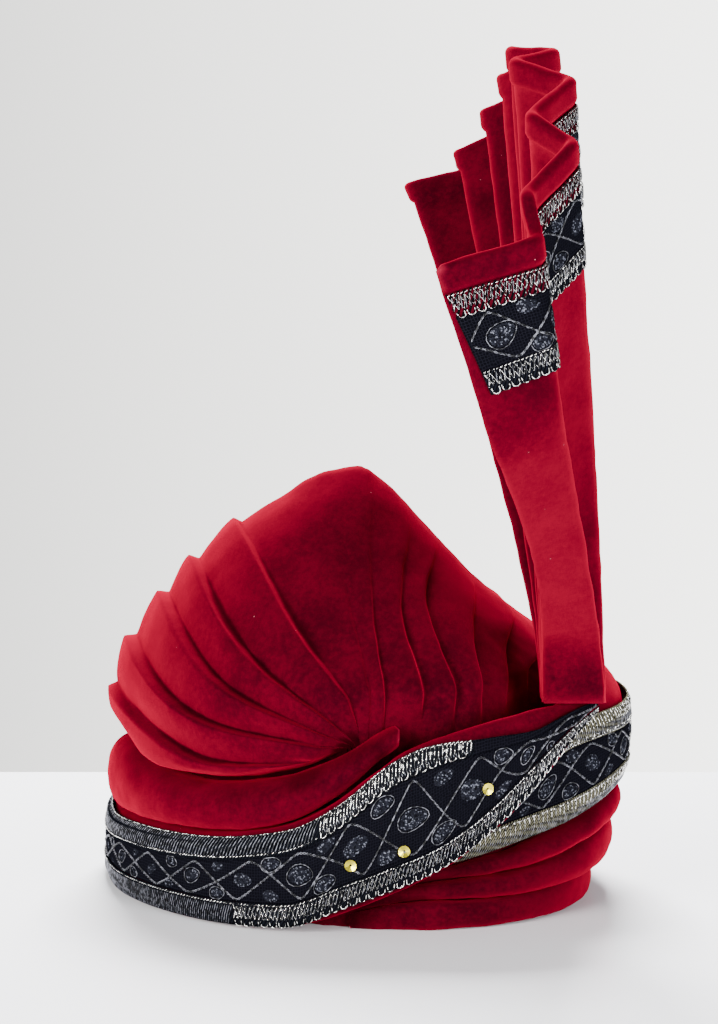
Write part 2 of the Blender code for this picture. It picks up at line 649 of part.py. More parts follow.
def fan_line(level):
    """The fan's fold line seen from above at a level: (side, depth, height) of its corners."""
    corners = []
    count = len(FAN_FOLDS)
    blunt = FAN_FOOT_PITCH + (FAN_FOLD_BLUNT - FAN_FOOT_PITCH) * level
    for i, fold in enumerate(FAN_FOLDS):
        foot_side = FAN_FOOT_WIDTH / 2 * (1 if i % 2 else -1)
        foot_depth = FAN_FOOT_PITCH * ((count - 1) / 2 - i)
        opened = level ** fold.late
        across = foot_side * (1 - opened) + fold.side * FAN_LENGTH * opened
        depth, height = fan_path(fold, level)
        ends = [0.0] if i in (0, count - 1) else [blunt / 2, -blunt / 2]
        corners += [(across, foot_depth + depth + end, height) for end in ends]
    return corners


def fan_marks():
    """Levels at the fan lace's lower edge, its trims' inner edges and its upper edge."""
    hem = 1 - FAN_HEM / FAN_LENGTH
    foot = hem - FAN_LACE / FAN_LENGTH
    trim = TRIM_WIDTH / FAN_LENGTH
    return foot, foot + trim, hem - trim, hem


def offset_line(corners, distance):
    """The corners moved sideways by a distance in plan, mitred."""
    moved = []
    for i, (x, y, z) in enumerate(corners):
        ways = []
        if i:
            ways.append(Vector((x - corners[i - 1][0], y - corners[i - 1][1])).normalized())
        if i + 1 < len(corners):
            ways.append(Vector((corners[i + 1][0] - x, corners[i + 1][1] - y)).normalized())
        normals = [Vector((-w.y, w.x)) for w in ways]
        mean = sum(normals, Vector((0.0, 0.0))).normalized()
        reach = distance / max(0.5, mean.dot(normals[0]))
        moved.append((x + mean.x * reach, y + mean.y * reach, z))
    return moved


def fan_points(level, distance):
    """Points beside the fan's fold line, on straight runs between the fan's own levels."""
    out, forward = fan_axes()
    foot = fan_foot()
    levels = FAN_BODY_LEVELS + fan_marks() + (1.0,)
    i = max(k for k in range(len(levels) - 1) if levels[k] <= level)
    share = (level - levels[i]) / (levels[i + 1] - levels[i])
    points = []
    for low, high in zip(offset_line(fan_line(levels[i]), distance),
                         offset_line(fan_line(levels[i + 1]), distance)):
        side, depth, height = Vector(low).lerp(Vector(high), share)
        points.append(foot + out * side + forward * depth + Vector((0.0, 0.0, height)))
    return points


def fan_sheet(name, levels, near, far, finish):
    """Pleated sheet between two offsets of the fan's fold line, through some levels."""
    rings = []
    for level in levels:
        rings.append(fan_points(level, near(level)) + fan_points(level, far(level))[::-1])
    return loft(name, rings, finish, sheet=True)


def fan_half(level):
    return (FAN_CLOTH + (FAN_HEM_CLOTH - FAN_CLOTH) * level) / 2


def make_fan():
    marks = fan_marks()
    fan_sheet("fan", FAN_BODY_LEVELS + marks + (1.0,), lambda v: -fan_half(v), fan_half,
              "crimson_velvet")
    seam = CLEAR / FAN_LENGTH
    bands = [("trim_fan_lower", marks[0], marks[1] - seam, FAN_TRIM_THICK, "silver_thread"),
             ("lace_fan_net", marks[1], marks[2], NET_THICK, "black_net"),
             ("trim_fan_upper", marks[2] + seam, marks[3], FAN_TRIM_THICK, "silver_thread")]
    for name, low, high, thick, finish in bands:
        fan_sheet(name, (low, high), lambda v: fan_half(v) + LACE_LIFT,
                  lambda v, t=thick: fan_half(v) + LACE_LIFT + t, finish)


def net_point(turn, share):
    """Point on the face of the over wrap's net, at a share of the net's height."""
    row, marks = over_lace(turn)
    at = marks[1] + (marks[2] - marks[1]) * share
    radius, height = wrap_face(row, OVER_SECTION, at, turn)
    return place(turn, radius + LACE_LIFT + NET_THICK, height)


def sequin_frame(sequin):
    """Seat of a sequin on the straight run of the net between two sections, and its axes."""
    turns = sorted(turns_low(OVER_END))
    i = max(k for k in range(len(turns) - 1) if turns[k] <= sequin.turn)
    mix = (sequin.turn - turns[i]) / (turns[i + 1] - turns[i])
    ends = net_point(turns[i], sequin.share), net_point(turns[i + 1], sequin.share)
    seat = ends[0].lerp(ends[1], mix)
    along = (ends[1] - ends[0]).normalized()
    above = net_point(turns[i], 1.0).lerp(net_point(turns[i + 1], 1.0), mix)
    normal = along.cross(above - seat).normalized()
    rise = normal.cross(along)
    return seat + normal * SEQUIN_LIFT, Matrix((along, rise, normal)).transposed()


def make_sequins():
    """Cupped discs with a thread hole, lying on the over wrap's net."""
    profile = [(SEQUIN_HOLE, 0.0), (SEQUIN_RADIUS, SEQUIN_CUP),
               (SEQUIN_RADIUS, SEQUIN_CUP + SEQUIN_THICK), (SEQUIN_HOLE, SEQUIN_THICK)]
    for number, sequin in enumerate(SEQUINS, 1):
        seat, frame = sequin_frame(sequin)
        rings = []
        for k in range(SEQUIN_SIDES):
            angle = 2 * math.pi * k / SEQUIN_SIDES + math.radians(sequin.twist)
            cosine, sine = math.cos(angle), math.sin(angle)
            rings.append([seat + frame @ Vector((r * cosine, r * sine, z)) for r, z in profile])
        loft("sequin_%d" % number, rings, "pale_gold", closed=True)


def stand_on_origin():
    """Moves every piece alike, so that the origin is in the middle of their box in plan."""
    meshes = [piece.data for piece in bpy.context.scene.objects]
    points = [vertex.co for mesh in meshes for vertex in mesh.vertices]
    middle = [(min(p[axis] for p in points) + max(p[axis] for p in points)) / 2 for axis in (0, 1)]
    for mesh in meshes:
        mesh.transform(Matrix.Translation((-middle[0], -middle[1], 0.0)))


def main():
    clear_scene()
    make_rim_band()
    make_wraps()
    make_lower_folds()
    make_lace("over", turns_low(OVER_END), over_lace, OVER_SECTION)
    make_lace("under", turns_high(UNDER_START), under_lace, UNDER_SECTION)
    make_crown()
    make_fan()
    make_sequins()
    stand_on_origin()


main()
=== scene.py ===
"""Looks of the tied velvet turban: pile velvet, net lace with metal thread trims, sequins, stage."""

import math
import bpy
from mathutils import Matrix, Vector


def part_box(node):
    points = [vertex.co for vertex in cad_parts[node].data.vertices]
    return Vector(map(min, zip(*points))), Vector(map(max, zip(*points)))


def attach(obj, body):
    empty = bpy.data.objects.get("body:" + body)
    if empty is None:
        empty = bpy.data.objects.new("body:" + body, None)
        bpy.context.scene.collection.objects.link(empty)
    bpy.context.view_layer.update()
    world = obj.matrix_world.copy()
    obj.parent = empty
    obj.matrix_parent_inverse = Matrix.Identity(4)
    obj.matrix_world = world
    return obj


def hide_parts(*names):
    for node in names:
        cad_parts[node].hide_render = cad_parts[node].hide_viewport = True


bl_info = {
    "name": "Tied turban",
    "version": (1, 0, 0),
    "blender": (4, 5, 0),
    "location": "3D View > Sidebar > Turban",
    "description": "Dresses a packed turban model in velvet, lace and sequins",
    "category": "Add Mesh",
}

from collections import namedtuple
from functools import partial

import bmesh
import bpy
import numpy as np
from mathutils import Vector, noise

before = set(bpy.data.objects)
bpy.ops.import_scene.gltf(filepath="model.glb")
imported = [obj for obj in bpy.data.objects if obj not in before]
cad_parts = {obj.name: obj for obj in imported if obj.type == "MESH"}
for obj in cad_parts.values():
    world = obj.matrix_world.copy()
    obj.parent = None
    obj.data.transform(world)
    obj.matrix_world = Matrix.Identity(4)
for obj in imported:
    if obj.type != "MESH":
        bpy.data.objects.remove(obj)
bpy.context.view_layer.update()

MM = 0.001
IMAGE = (718, 1024)               # picture width and height in pixels

# The camera: on the turban's axis at turn -45, seen from 2.3 m
CAMERA_TURN = -45.0
CAMERA_DISTANCE = 2.30
CAMERA_HEIGHT = 0.531
CAMERA_DOWN = 8.74                # degrees below level
CAMERA_PIXELS = 4914.5            # focal length in picture pixels
AXIS_PIXEL = 365.0                # picture column that the turban's axis stands on
FLOOR_BEHIND = 0.249              # how far behind the axis the floor ends
FLOOR_SIZE = 2.4

# Light. Places are towards the camera's left, towards the camera and up, from the turban's axis.
Light = namedtuple("Light", "name left front up aim size power colour")
LIGHTS = [
    Light("overhead", 0.0, -1.1, 1.3, 0.0, 0.7, 195.0, (1.0, 1.0, 1.0)),
    Light("key", 1.3, 1.5, 0.6, 0.15, 0.9, 110.0, (1.0, 0.99, 0.97)),
    Light("fill", -1.3, 1.6, 0.35, 0.15, 1.0, 80.0, (0.97, 0.98, 1.0)),
]
SKY_LIGHT = 0.34
BACKDROP_LIGHT = (2.10, 4.80)     # at the picture's left and right side
BACKDROP_EDGE = 0.08              # about the sine of the angle from the view's middle to them

# Velvet
DENT = 0.016                      # length of a dent in the wraps and the crown
FAN_DENT = (0.0005, 0.014)        # height and length of a dent in the fan
CROWN_CREASE = (22.0, 0.75)       # edges bent by more degrees keep this share of their sharpness
WRAP_CREASE = (50.0, 0.5)
GATHER_CREASE = 0.35              # what the crown's high side keeps of it
HIGHLIGHT_SCALE = 0.004                # turns a bend, in 1 / m, into its share of a wholly pale fold: a painted highlight
HIGHLIGHT_BLUR = 3                     # rounds that spread the painted highlights on the folds
SHADE_REACH = 0.012               # how widely a hollow is told from its surroundings, for its painted shade
SHADE_DEPTH_FULL = 0.0016               # how deep a hollow is that is wholly dark with painted shade

# The high side is where the wraps end under the fan. A turn is an azimuth from -Y towards +X.
HIGH_TURN = 45.0
OVER_LAST_TURN = 12.0             # the over wrap's lace ends before this turn
UNDER_LAST_TURN = 128.0
TRIM_FADE_TURN = -22.0            # the over lace's upper trim runs out here, on the near side
LADDER_TURN = -55.0               # its bright ladder begins here
TRIM_TAPER = ([-11.0, 0.0, 14.0], [1.0, 0.62, 0.25])  # degrees past its end, share of its width left
TRIM_END = 0.0005                 # threads keep off a trim's ends
CELL_TURN = -76.0                 # the over lace's lower trim has cells from here

# The fan, as it is in the solids: 18 fold lines from its near leaf to its far leaf. Each has its
# lean and its tip's lean in degrees, how far aside its tip stands, and how late it gets there.
FanFold = namedtuple("FanFold", "lean tip side late")
FAN_FOLDS = [FanFold(*values) for values in (
    (53.4, 14.0, -0.227, 1.95), (48.9, 14.0, -0.081, 1.10), (40.2, 20.0, -0.094, 1.60),
    (30.4, 20.0, -0.026, 1.20), (24.6, 17.0, -0.083, 1.60), (15.0, 13.0, -0.021, 1.20),
    (7.5, 7.5, -0.099, 1.60), (1.0, 1.0, -0.037, 1.20), (-5.6, -5.6, -0.098, 1.50),
    (-13.5, -13.5, -0.036, 1.20), (-21.4, -21.4, -0.104, 1.40), (-26.2, -26.2, -0.052, 1.20),
    (-30.9, -30.9, -0.128, 1.40), (-35.1, -35.1, -0.084, 1.20), (-39.3, -39.3, -0.168, 1.30),
    (-41.9, -41.9, -0.120, 1.20), (-45.1, -45.1, -0.248, 1.30), (-47.7, -47.7, -0.168, 1.20),
)]
FAN_BEND = 0.14                   # share of its length in which a fold takes its lean
FAN_TURN = 0.66                   # share at which it begins to take its tip's lean
FAN_TURN_SPAN = 0.16
FAN_PATH_STEPS = 50
FAN_LENGTH = 0.298
FAN_FOOT_WIDTH = 0.028
FAN_FOOT_PITCH = 0.0020           # fold to fold at the foot
FAN_FOLD_BLUNT = 0.0080           # width of a fold's edge at the hem
FAN_FOOT_TURN = 5.6
FAN_FOOT_RADIUS = 0.12366
FAN_HEM = 0.0125                  # the rolled hem above the lace
FAN_LACE = 0.0465
TRIM_WIDTH = 0.0110
FAN_WALL = (0.0014, 0.0026)       # cloth at the foot and at the hem
FAN_ROUND = (0.0005, 0.0036)      # softness of a fold at the foot and at the hem
FAN_HEM_SWELL = 0.0017            # how much fuller the rolled hem is
FAN_HEM_RATE = 3.0                # it is at its fullest from a third of its height
FAN_EDGE_ROUND = 0.0025
FAN_FINE = 1400                   # points of a smoothed line across the fan
FAN_LEAF_STEPS = 14
FAN_LEVEL_STEPS = 40
FAN_HEM_STEPS = 8
HEM_ROUND = 7                     # points round the rolled hem
FAN_LACE_INSET = (0.0060, 0.0004) # lace to the near leaf's free edge, at its bottom and its top

# Lace
NET_STEP = 0.0016                 # mesh along a lace
NET_COLUMNS, TRIM_COLUMNS = 12, 7 # points across a net and a trim
SAME_TURN = 0.2                   # degrees within which points are of one section of a solid
SAME_LEVEL = 0.000005
NET_OVERLAP = 0.25                # of a step across: how far the net reaches under its trims
LACE_WALL = 0.0006
LACE_LIFT = 0.0005
THREAD = 0.00021                  # radius of the silver thread
FINE_THREAD = 0.00017
ROPE_PITCH = 0.00190
ROPE_LONG = 0.00115
ROPE_SLANT = 0.00050
LOOP_PITCH = 0.0046
STITCH_PITCH = 0.0019
GIMP_PITCH = 0.0013
GIMP_SLANT = 0.62                 # radians
KNOT_PITCH = 0.0072
KNOT = 0.0011
VINE_PITCH = 0.0034
VINE_SWING = 0.00050
LATTICE = 0.030                   # vine crossing to vine crossing
VINE_REACH = 0.45                 # how far a vine swings, as a share of the net's width
VINE_CORNER = 0.97                # 1 would be a sharp zigzag
VINE_WANDER = (0.004, 1.7)        # how far its zigzags are shifted, and how often against them
LEAF = (0.0150, 0.0100)           # length and width of a leaf
LEAF_POINTS = 14
EDGE_LEAVES = (0.15, 0.85)        # shares across the net at which smaller leaves stand
EDGE_LEAF_SIZE = 0.78
LEAF_NET = 0.026                  # a narrower net has smaller leaves
# Rings of a leaf's pad: how far past the leaf's edge, and how far off the net
LEAF_PAD = ((-0.0005, -0.0003), (-0.0005, 0.00015), (-0.0013, 0.00045), (-0.0026, 0.0006))

# Across a trim, as shares from its top edge to its bottom edge
ROPE_AT = 0.06
DOTS_AT = 0.88
KNOTS_AT = 0.34
STITCH_FROM, STITCH_TO = 0.12, 0.66
LOOP_FROM, LOOP_TO = 0.74, 0.99
GIMP_EDGE = 0.08                  # a gimp trim's rope from the net

# A stitch's start, middle and end along it, and how far off the face they lie
STITCH = np.array([0.0, 0.5, 1.0])
STITCH_LIFT = THREAD * np.array([0.6, 1.8, 0.6])
ROPE_LIFT = THREAD * np.array([0.8, 2.4, 0.8])
KNOT_LIFT = THREAD * np.array([1.0, 3.6, 1.0])


def linear(code):
    """Linear colour of an sRGB hex value, with full opacity."""
    parts = [int(code[i:i + 2], 16) / 255 for i in (1, 3, 5)]
    return (*(c / 12.92 if c <= 0.04045 else ((c + 0.055) / 1.055) ** 2.4 for c in parts), 1.0)


class TurbanSizes(bpy.types.PropertyGroup):
    velvet: bpy.props.FloatVectorProperty(
        name="Velvet", description="Colour of the pile where it stands up", subtype="COLOR", size=4,
        default=linear("#440310"))
    velvet_deep: bpy.props.FloatVectorProperty(
        name="Velvet, brushed down", description="Colour of the pile that lies away", subtype="COLOR",
        size=4, default=linear("#280109"))
    # Painted sheen: the colour the pile is given where it is seen at a low angle
    velvet_painted_sheen: bpy.props.FloatVectorProperty(
        name="Velvet, glancing", description="Colour of the pile seen at a low angle",
        subtype="COLOR", size=4, default=linear("#900826"))
    silver: bpy.props.FloatVectorProperty(
        name="Silver thread", description="Colour of the metal thread", subtype="COLOR", size=4,
        default=linear("#F2F1EC"))
    softness: bpy.props.FloatProperty(
        name="Softness", description="Height of the small dents in the velvet", subtype="DISTANCE",
        unit="LENGTH", default=0.0006, min=0.0, max=0.002)
    smoothing: bpy.props.IntProperty(
        name="Smoothing", description="Subdivision levels of the velvet", default=2, min=1, max=3)


# Materials

COLOURS = {"data_type": "RGBA"}   # such a mix has its share in input 0, its colours in 6 and 7
SMOOTH = {"interpolation_type": "SMOOTHSTEP"}


def fill(tree, node, inputs):
    """Sets inputs: each is a value, a socket, or a node, which gives its first output in use."""
    for key, value in inputs.items():
        if isinstance(value, bpy.types.Node):
            value = next(socket for socket in value.outputs if socket.enabled)
        if isinstance(value, bpy.types.NodeSocket):
            tree.links.new(value, node.inputs[key])
        else:
            node.inputs[key].default_value = value
    return node


def add_node(tree, kind, inputs=None, **settings):
    """A shader node, its kind given without the usual prefix, with its settings and links."""
    new = tree.nodes.new("ShaderNode" + kind)
    for key, value in settings.items():
        setattr(new, key, value)
    return fill(tree, new, inputs or {})


def new_material(name):
    """A new material's tree and shader."""
    made = bpy.data.materials.new(name)
    made.use_nodes = True
    return made.node_tree, made.node_tree.nodes["Principled BSDF"]


def pile_velvet(sizes):
    """Pile velvet of silk or polyester, woven and cut: dark face-on, with a painted sheen that makes it
    bright at a glancing angle, patches where the pile lies the other way, painted highlights on proud
    folds, painted shade in hollows and on what faces up, and a few specks of lint."""
    tree, shader = new_material("pile_velvet")
    where = add_node(tree, "TexCoord").outputs["Object"]
    patches = add_node(tree, "TexNoise", {"Vector": where, "Scale": 1 / (26 * MM), "Detail": 4.0,
                                          "Roughness": 0.60})
    nap = add_node(tree, "TexNoise", {"Vector": where, "Scale": 1 / (2.6 * MM), "Detail": 3.0,
                                      "Roughness": 0.65})
    share = add_node(tree, "Math", {0: patches, 1: 0.55}, operation="MULTIPLY")
    both = add_node(tree, "Math", {0: nap, 1: 0.45, 2: share}, operation="MULTIPLY_ADD")
    lie = add_node(tree, "MapRange", {"Value": both, "From Min": 0.34, "From Max": 0.66}, **SMOOTH)
    colour = add_node(tree, "Mix", {0: lie, 6: tuple(sizes.velvet_deep), 7: tuple(sizes.velvet)},
                      **COLOURS)
    # Painted sheen: the colour turns to the glancing one where the surface turns away from view
    facing = add_node(tree, "LayerWeight", {"Blend": 0.5}).outputs["Facing"]
    painted_sheen_share = add_node(tree, "Math", {0: facing, 1: 2.0}, operation="POWER")
    colour = add_node(tree, "Mix", {0: painted_sheen_share, 6: colour, 7: tuple(sizes.velvet_painted_sheen)}, **COLOURS)
    # Painted shade darkens hollows and, a little, what faces up; painted highlights make proud folds pale
    for mark, low, high, most, painted_light_tint in (("depth", 0.0, -0.9, 0.72, "#060001"),
                                        ("upward", 0.0, 1.0, 0.25, "#180106"),
                                        ("fold", 0.25, 0.9, 0.55, "#8A1830")):
        value = add_node(tree, "Attribute", attribute_name=mark).outputs["Fac"]
        share = add_node(tree, "MapRange", {"Value": value, "From Min": low, "From Max": high,
                                            "To Max": most}, **SMOOTH)
        colour = add_node(tree, "Mix", {0: share, 6: colour, 7: linear(painted_light_tint)}, **COLOURS)
    cells = add_node(tree, "TexVoronoi", {"Vector": where, "Scale": 1 / (14 * MM)})
    speck = add_node(tree, "Math", {0: cells, 1: 0.022}, operation="LESS_THAN")
    colour = add_node(tree, "Mix", {0: speck, 6: colour, 7: linear("#8A4A52")}, **COLOURS)
    pile = add_node(tree, "TexNoise", {"Vector": where, "Scale": 1 / (0.7 * MM), "Detail": 2.0})
    bump = add_node(tree, "Bump", {"Height": pile, "Strength": 0.35, "Distance": 0.3 * MM})
    fill(tree, shader, {"Base Color": colour, "Normal": bump, "Roughness": 0.95,
                        "Specular IOR Level": 0.0, "Sheen Weight": 0.05, "Sheen Roughness": 0.45,
                        "Sheen Tint": linear("#FF1048")})


def silver_thread(sizes):
    """Metal-wrapped embroidery thread, drawn and twisted: bright where it turns to the light,
    tarnished to grey in between."""
    tree, shader = new_material("wrapped_silver")
    where = add_node(tree, "TexCoord").outputs["Object"]
    tarnish = add_node(tree, "TexNoise", {"Vector": where, "Scale": 1 / (1.3 * MM), "Detail": 2.0})
    share = add_node(tree, "MapRange", {"Value": tarnish, "From Min": 0.43, "From Max": 0.57}, **SMOOTH)
    colour = add_node(tree, "Mix", {0: share, 6: linear("#101014"), 7: tuple(sizes.silver)}, **COLOURS)
    twist = add_node(tree, "TexNoise", {"Vector": where, "Scale": 1 / (0.5 * MM)})
    bump = add_node(tree, "Bump", {"Height": twist, "Strength": 0.5, "Distance": 0.2 * MM})
    fill(tree, shader, {"Base Color": colour, "Normal": bump, "Metallic": 0.8, "Roughness": 0.24})


def dull_thread():
    """The same thread, finer and tarnished, as the vines and leaf outlines have it."""
    tree, shader = new_material("tarnished_thread")
    where = add_node(tree, "TexCoord").outputs["Object"]
    tarnish = add_node(tree, "TexNoise", {"Vector": where, "Scale": 1 / (2.0 * MM), "Detail": 3.0})
    share = add_node(tree, "MapRange", {"Value": tarnish, "From Min": 0.42, "From Max": 0.62}, **SMOOTH)
    colour = add_node(tree, "Mix", {0: share, 6: linear("#08080C"), 7: linear("#74757E")}, **COLOURS)
    fill(tree, shader, {"Base Color": colour, "Metallic": 0.3, "Roughness": 0.45})


def gimp_ground(name, low, high, pitch):
    """Woven gimp under a trim: slanted threads side by side, dark between them."""
    tree, shader = new_material(name)
    uv = add_node(tree, "UVMap", uv_map="lace")
    turned = add_node(tree, "Mapping", {"Vector": uv, "Rotation": (0.0, 0.0, GIMP_SLANT)})
    bands = add_node(tree, "TexWave", {"Vector": turned, "Scale": math.pi / (10 * pitch),
                                       "Distortion": 0.6, "Detail": 1.0},
                     wave_type="BANDS").outputs["Fac"]
    worn = add_node(tree, "TexNoise", {"Vector": uv, "Scale": 1 / (4.0 * MM), "Detail": 2.0})
    grey = add_node(tree, "Mix", {0: worn, 6: linear(low), 7: linear(high)}, **COLOURS)
    share = add_node(tree, "MapRange", {"Value": bands, "From Min": 0.35, "From Max": 0.7}, **SMOOTH)
    colour = add_node(tree, "Mix", {0: share, 6: linear("#060608"), 7: grey}, **COLOURS)
    bump = add_node(tree, "Bump", {"Height": bands, "Strength": 0.6, "Distance": 0.3 * MM})
    fill(tree, shader, {"Base Color": colour, "Normal": bump, "Specular IOR Level": 0.0})


def black_net():
    """Machine-made nylon net on a black ground, its meshes about 1.4 mm wide."""
    tree, shader = new_material("nylon_net")
    uv = add_node(tree, "UVMap", uv_map="lace")
    mesh = add_node(tree, "TexVoronoi", {"Vector": uv, "Scale": 1 / (1.4 * MM), "Randomness": 0.35},
                    feature="DISTANCE_TO_EDGE")
    yarn = add_node(tree, "MapRange", {"Value": mesh, "From Min": 0.16, "From Max": 0.06}, **SMOOTH)
    colour = add_node(tree, "Mix", {0: yarn, 6: linear("#050508"), 7: linear("#101016")}, **COLOURS)
    bump = add_node(tree, "Bump", {"Height": yarn, "Strength": 0.5, "Distance": 0.2 * MM})
    fill(tree, shader, {"Base Color": colour, "Normal": bump, "Roughness": 0.7,
                        "Specular IOR Level": 0.0})


def glitter_pad():
    """Close rows of black and tinsel thread that fill a leaf: dark, with a few pale grains for the
    tinsel, painted as its glints.
    """
    tree, shader = new_material("tinsel_leaf")
    where = add_node(tree, "TexCoord").outputs["Object"]
    grains = add_node(tree, "TexVoronoi", {"Vector": where, "Scale": 1 / (0.55 * MM)})
    painted_glint, tone, _ = add_node(tree, "SeparateColor", {"Color": grains.outputs["Color"]}).outputs
    dull = add_node(tree, "Mix", {0: tone, 6: linear("#050507"), 7: linear("#1A1B22")}, **COLOURS)
    # Painted glints: a few grains are pale, for the tinsel's own colour and the light it would catch
    share = add_node(tree, "MapRange", {"Value": painted_glint, "From Min": 0.84, "From Max": 0.97}, **SMOOTH)
    colour = add_node(tree, "Mix", {0: share, 6: dull, 7: linear("#5A5C66")}, **COLOURS)
    fill(tree, shader, {"Base Color": colour, "Specular IOR Level": 0.0})


def foil_sequin():
    """Stamped foil sequin, pale gold, nearly a mirror."""
    tree, shader = new_material("foil_sequin")
    where = add_node(tree, "TexCoord").outputs["Object"]
    worn = add_node(tree, "TexNoise", {"Vector": where, "Scale": 1 / (2.0 * MM)})
    colour = add_node(tree, "Mix", {0: worn, 6: linear("#A89A20"), 7: linear("#E6D846")}, **COLOURS)
    fill(tree, shader, {"Base Color": colour, "Metallic": 0.9, "Roughness": 0.22})


def pale_floor():
    """Smooth white table top with a faint gloss."""
    tree, shader = new_material("pale_floor")
    fill(tree, shader, {"Base Color": linear("#F4F4F8"), "Roughness": 0.20, "Specular IOR Level": 0.10})


# Meshes

def link(name, mesh):
    new = bpy.data.objects.new(name, mesh)
    bpy.context.scene.collection.objects.link(new)
    return new


def solid(name, points, faces, finish):
    """A smooth piece from points and faces, in a finish of that name."""
    mesh = bpy.data.meshes.new(name)
    mesh.from_pydata(points, [], faces)
    mesh.materials.append(bpy.data.materials[finish])
    mesh.shade_smooth()
    return link(name, mesh)


def dress(piece, slot, *nodes):
    """Puts a piece on the part's one body, in the place of the nodes it stands for; the slot is not used.
    """
    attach(piece, "root")
    for node in nodes:
        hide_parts(node)


def only(piece):
    bpy.ops.object.select_all(action="DESELECT")
    piece.select_set(True)
    bpy.context.view_layer.objects.active = piece


def vertex_rows(mesh, name):
    """A vertex property, one row for each vertex."""
    rows = np.empty(len(mesh.vertices) * 3)
    mesh.vertices.foreach_get(name, rows)
    return rows.reshape(-1, 3)


def run_of(line):
    """Length run at each point of a line."""
    return np.concatenate([[0.0], np.cumsum(np.linalg.norm(np.diff(line, axis=0), axis=1))])


def line_at(marks, run, line):
    """Points of a line at marks along its run."""
    return np.stack([np.interp(marks, run, line[:, k]) for k in range(3)], axis=1)


def spread(ends, degree, values):
    """Mean of the neighbours' values at each vertex, from the edges' ends."""
    if values.ndim == 1:
        return np.bincount(ends[:, 0], weights=values[ends[:, 1]], minlength=len(values)) / degree
    return np.stack([spread(ends, degree, values[:, k]) for k in range(values.shape[1])], axis=1)


def mark_painted_light(piece, shade_share=1.0):
    """Stores how a place stands to its surroundings, proud above 0: fold close by, depth widely;
    and how far it faces up. The velvet paints its highlights and its shade from these."""
    mesh = piece.data
    count = len(mesh.vertices)
    points, normals = vertex_rows(mesh, "co"), vertex_rows(mesh, "normal")
    edges = np.empty(len(mesh.edges) * 2, dtype=np.int64)
    mesh.edges.foreach_get("vertices", edges)
    ends = np.concatenate([edges.reshape(-1, 2), edges.reshape(-1, 2)[:, ::-1]])
    degree = np.maximum(np.bincount(ends[:, 0], minlength=count), 1)
    run = np.linalg.norm(points[ends[:, 0]] - points[ends[:, 1]], axis=1)
    reach = np.bincount(ends[:, 0], weights=run, minlength=count) / degree
    mean = spread(ends, degree, points)
    close = ((points - mean) * normals).sum(axis=1) / np.maximum(reach, 1e-6) ** 2 * HIGHLIGHT_SCALE
    for _ in range(HIGHLIGHT_BLUR):
        close = 0.5 * close + 0.5 * spread(ends, degree, close)
    wide = points
    for _ in range(max(1, round((SHADE_REACH / reach.mean()) ** 2))):
        wide = spread(ends, degree, wide)
    proud = ((points - wide) * normals).sum(axis=1)
    depth = (proud - np.median(proud)) / SHADE_DEPTH_FULL * shade_share
    for name, values in (("fold", close), ("depth", depth), ("upward", normals[:, 2])):
        layer = mesh.attributes.new(name, "FLOAT", "POINT")
        layer.data.foreach_set("value", np.clip(values, -1.0, 1.0).astype(np.float32))


def soften(piece, height, grain):
    """Small dents of worked cloth, along the normals."""
    mesh = piece.data
    moved = []
    for vertex in mesh.vertices:
        swing = noise.noise(vertex.co / grain) + 0.5 * noise.noise(vertex.co / (grain * 0.45))
        moved.extend(vertex.co + vertex.normal * height * swing)
    mesh.vertices.foreach_set("co", moved)
    mesh.update()


def crease_steps(piece, angle, weight):
    """Keeps the steps of the pleats when the piece is rounded off, the high side's gathers less."""
    low, centre = direction(HIGH_TURN + 180.0), oval_centre()
    shell = bmesh.new()
    shell.from_mesh(piece.data)
    layer = shell.edges.layers.float.new("crease_edge")
    for edge in shell.edges:
        if len(edge.link_faces) == 2 and edge.calc_face_angle() > math.radians(angle):
            middle = (edge.verts[0].co + edge.verts[1].co) / 2 - centre
            edge[layer] = weight if middle.dot(low) > 0 else weight * GATHER_CREASE
    shell.to_mesh(piece.data)
    shell.free()


def velvet_piece(node, sizes, levels, crease):
    """A smooth velvet piece from the solid of the same form, which it stands for."""
    piece = link("velvet_" + node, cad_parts[node].data.copy())
    only(piece)
    bpy.ops.object.mode_set(mode="EDIT")
    bpy.ops.mesh.select_all(action="SELECT")
    bpy.ops.mesh.remove_doubles(threshold=0.02 * MM)
    bpy.ops.mesh.tris_convert_to_quads(face_threshold=math.radians(50), shape_threshold=math.radians(80))
    bpy.ops.object.mode_set(mode="OBJECT")
    crease_steps(piece, *crease)
    round_off = piece.modifiers.new("round_off", "SUBSURF")
    round_off.levels = round_off.render_levels = levels
    bpy.ops.object.modifier_apply(modifier="round_off")
    soften(piece, sizes.softness, DENT)
    bpy.ops.object.shade_smooth()
    mark_painted_light(piece)
    piece.data.materials.clear()
    piece.data.materials.append(bpy.data.materials["pile_velvet"])
    dress(piece, "crimson_velvet", node)
    return piece


def oval_centre():
    """The turban's axis, the middle of the head opening, on the floor."""
    low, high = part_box("rim_band")
    return Vector(((low[0] + high[0]) / 2, (low[1] + high[1]) / 2, 0.0))


def direction(turn):
    """Level direction at a turn."""
    return Vector((math.sin(math.radians(turn)), -math.cos(math.radians(turn)), 0.0))


# Lace: a zone is a grid of points along and across one trim or net, with its length run

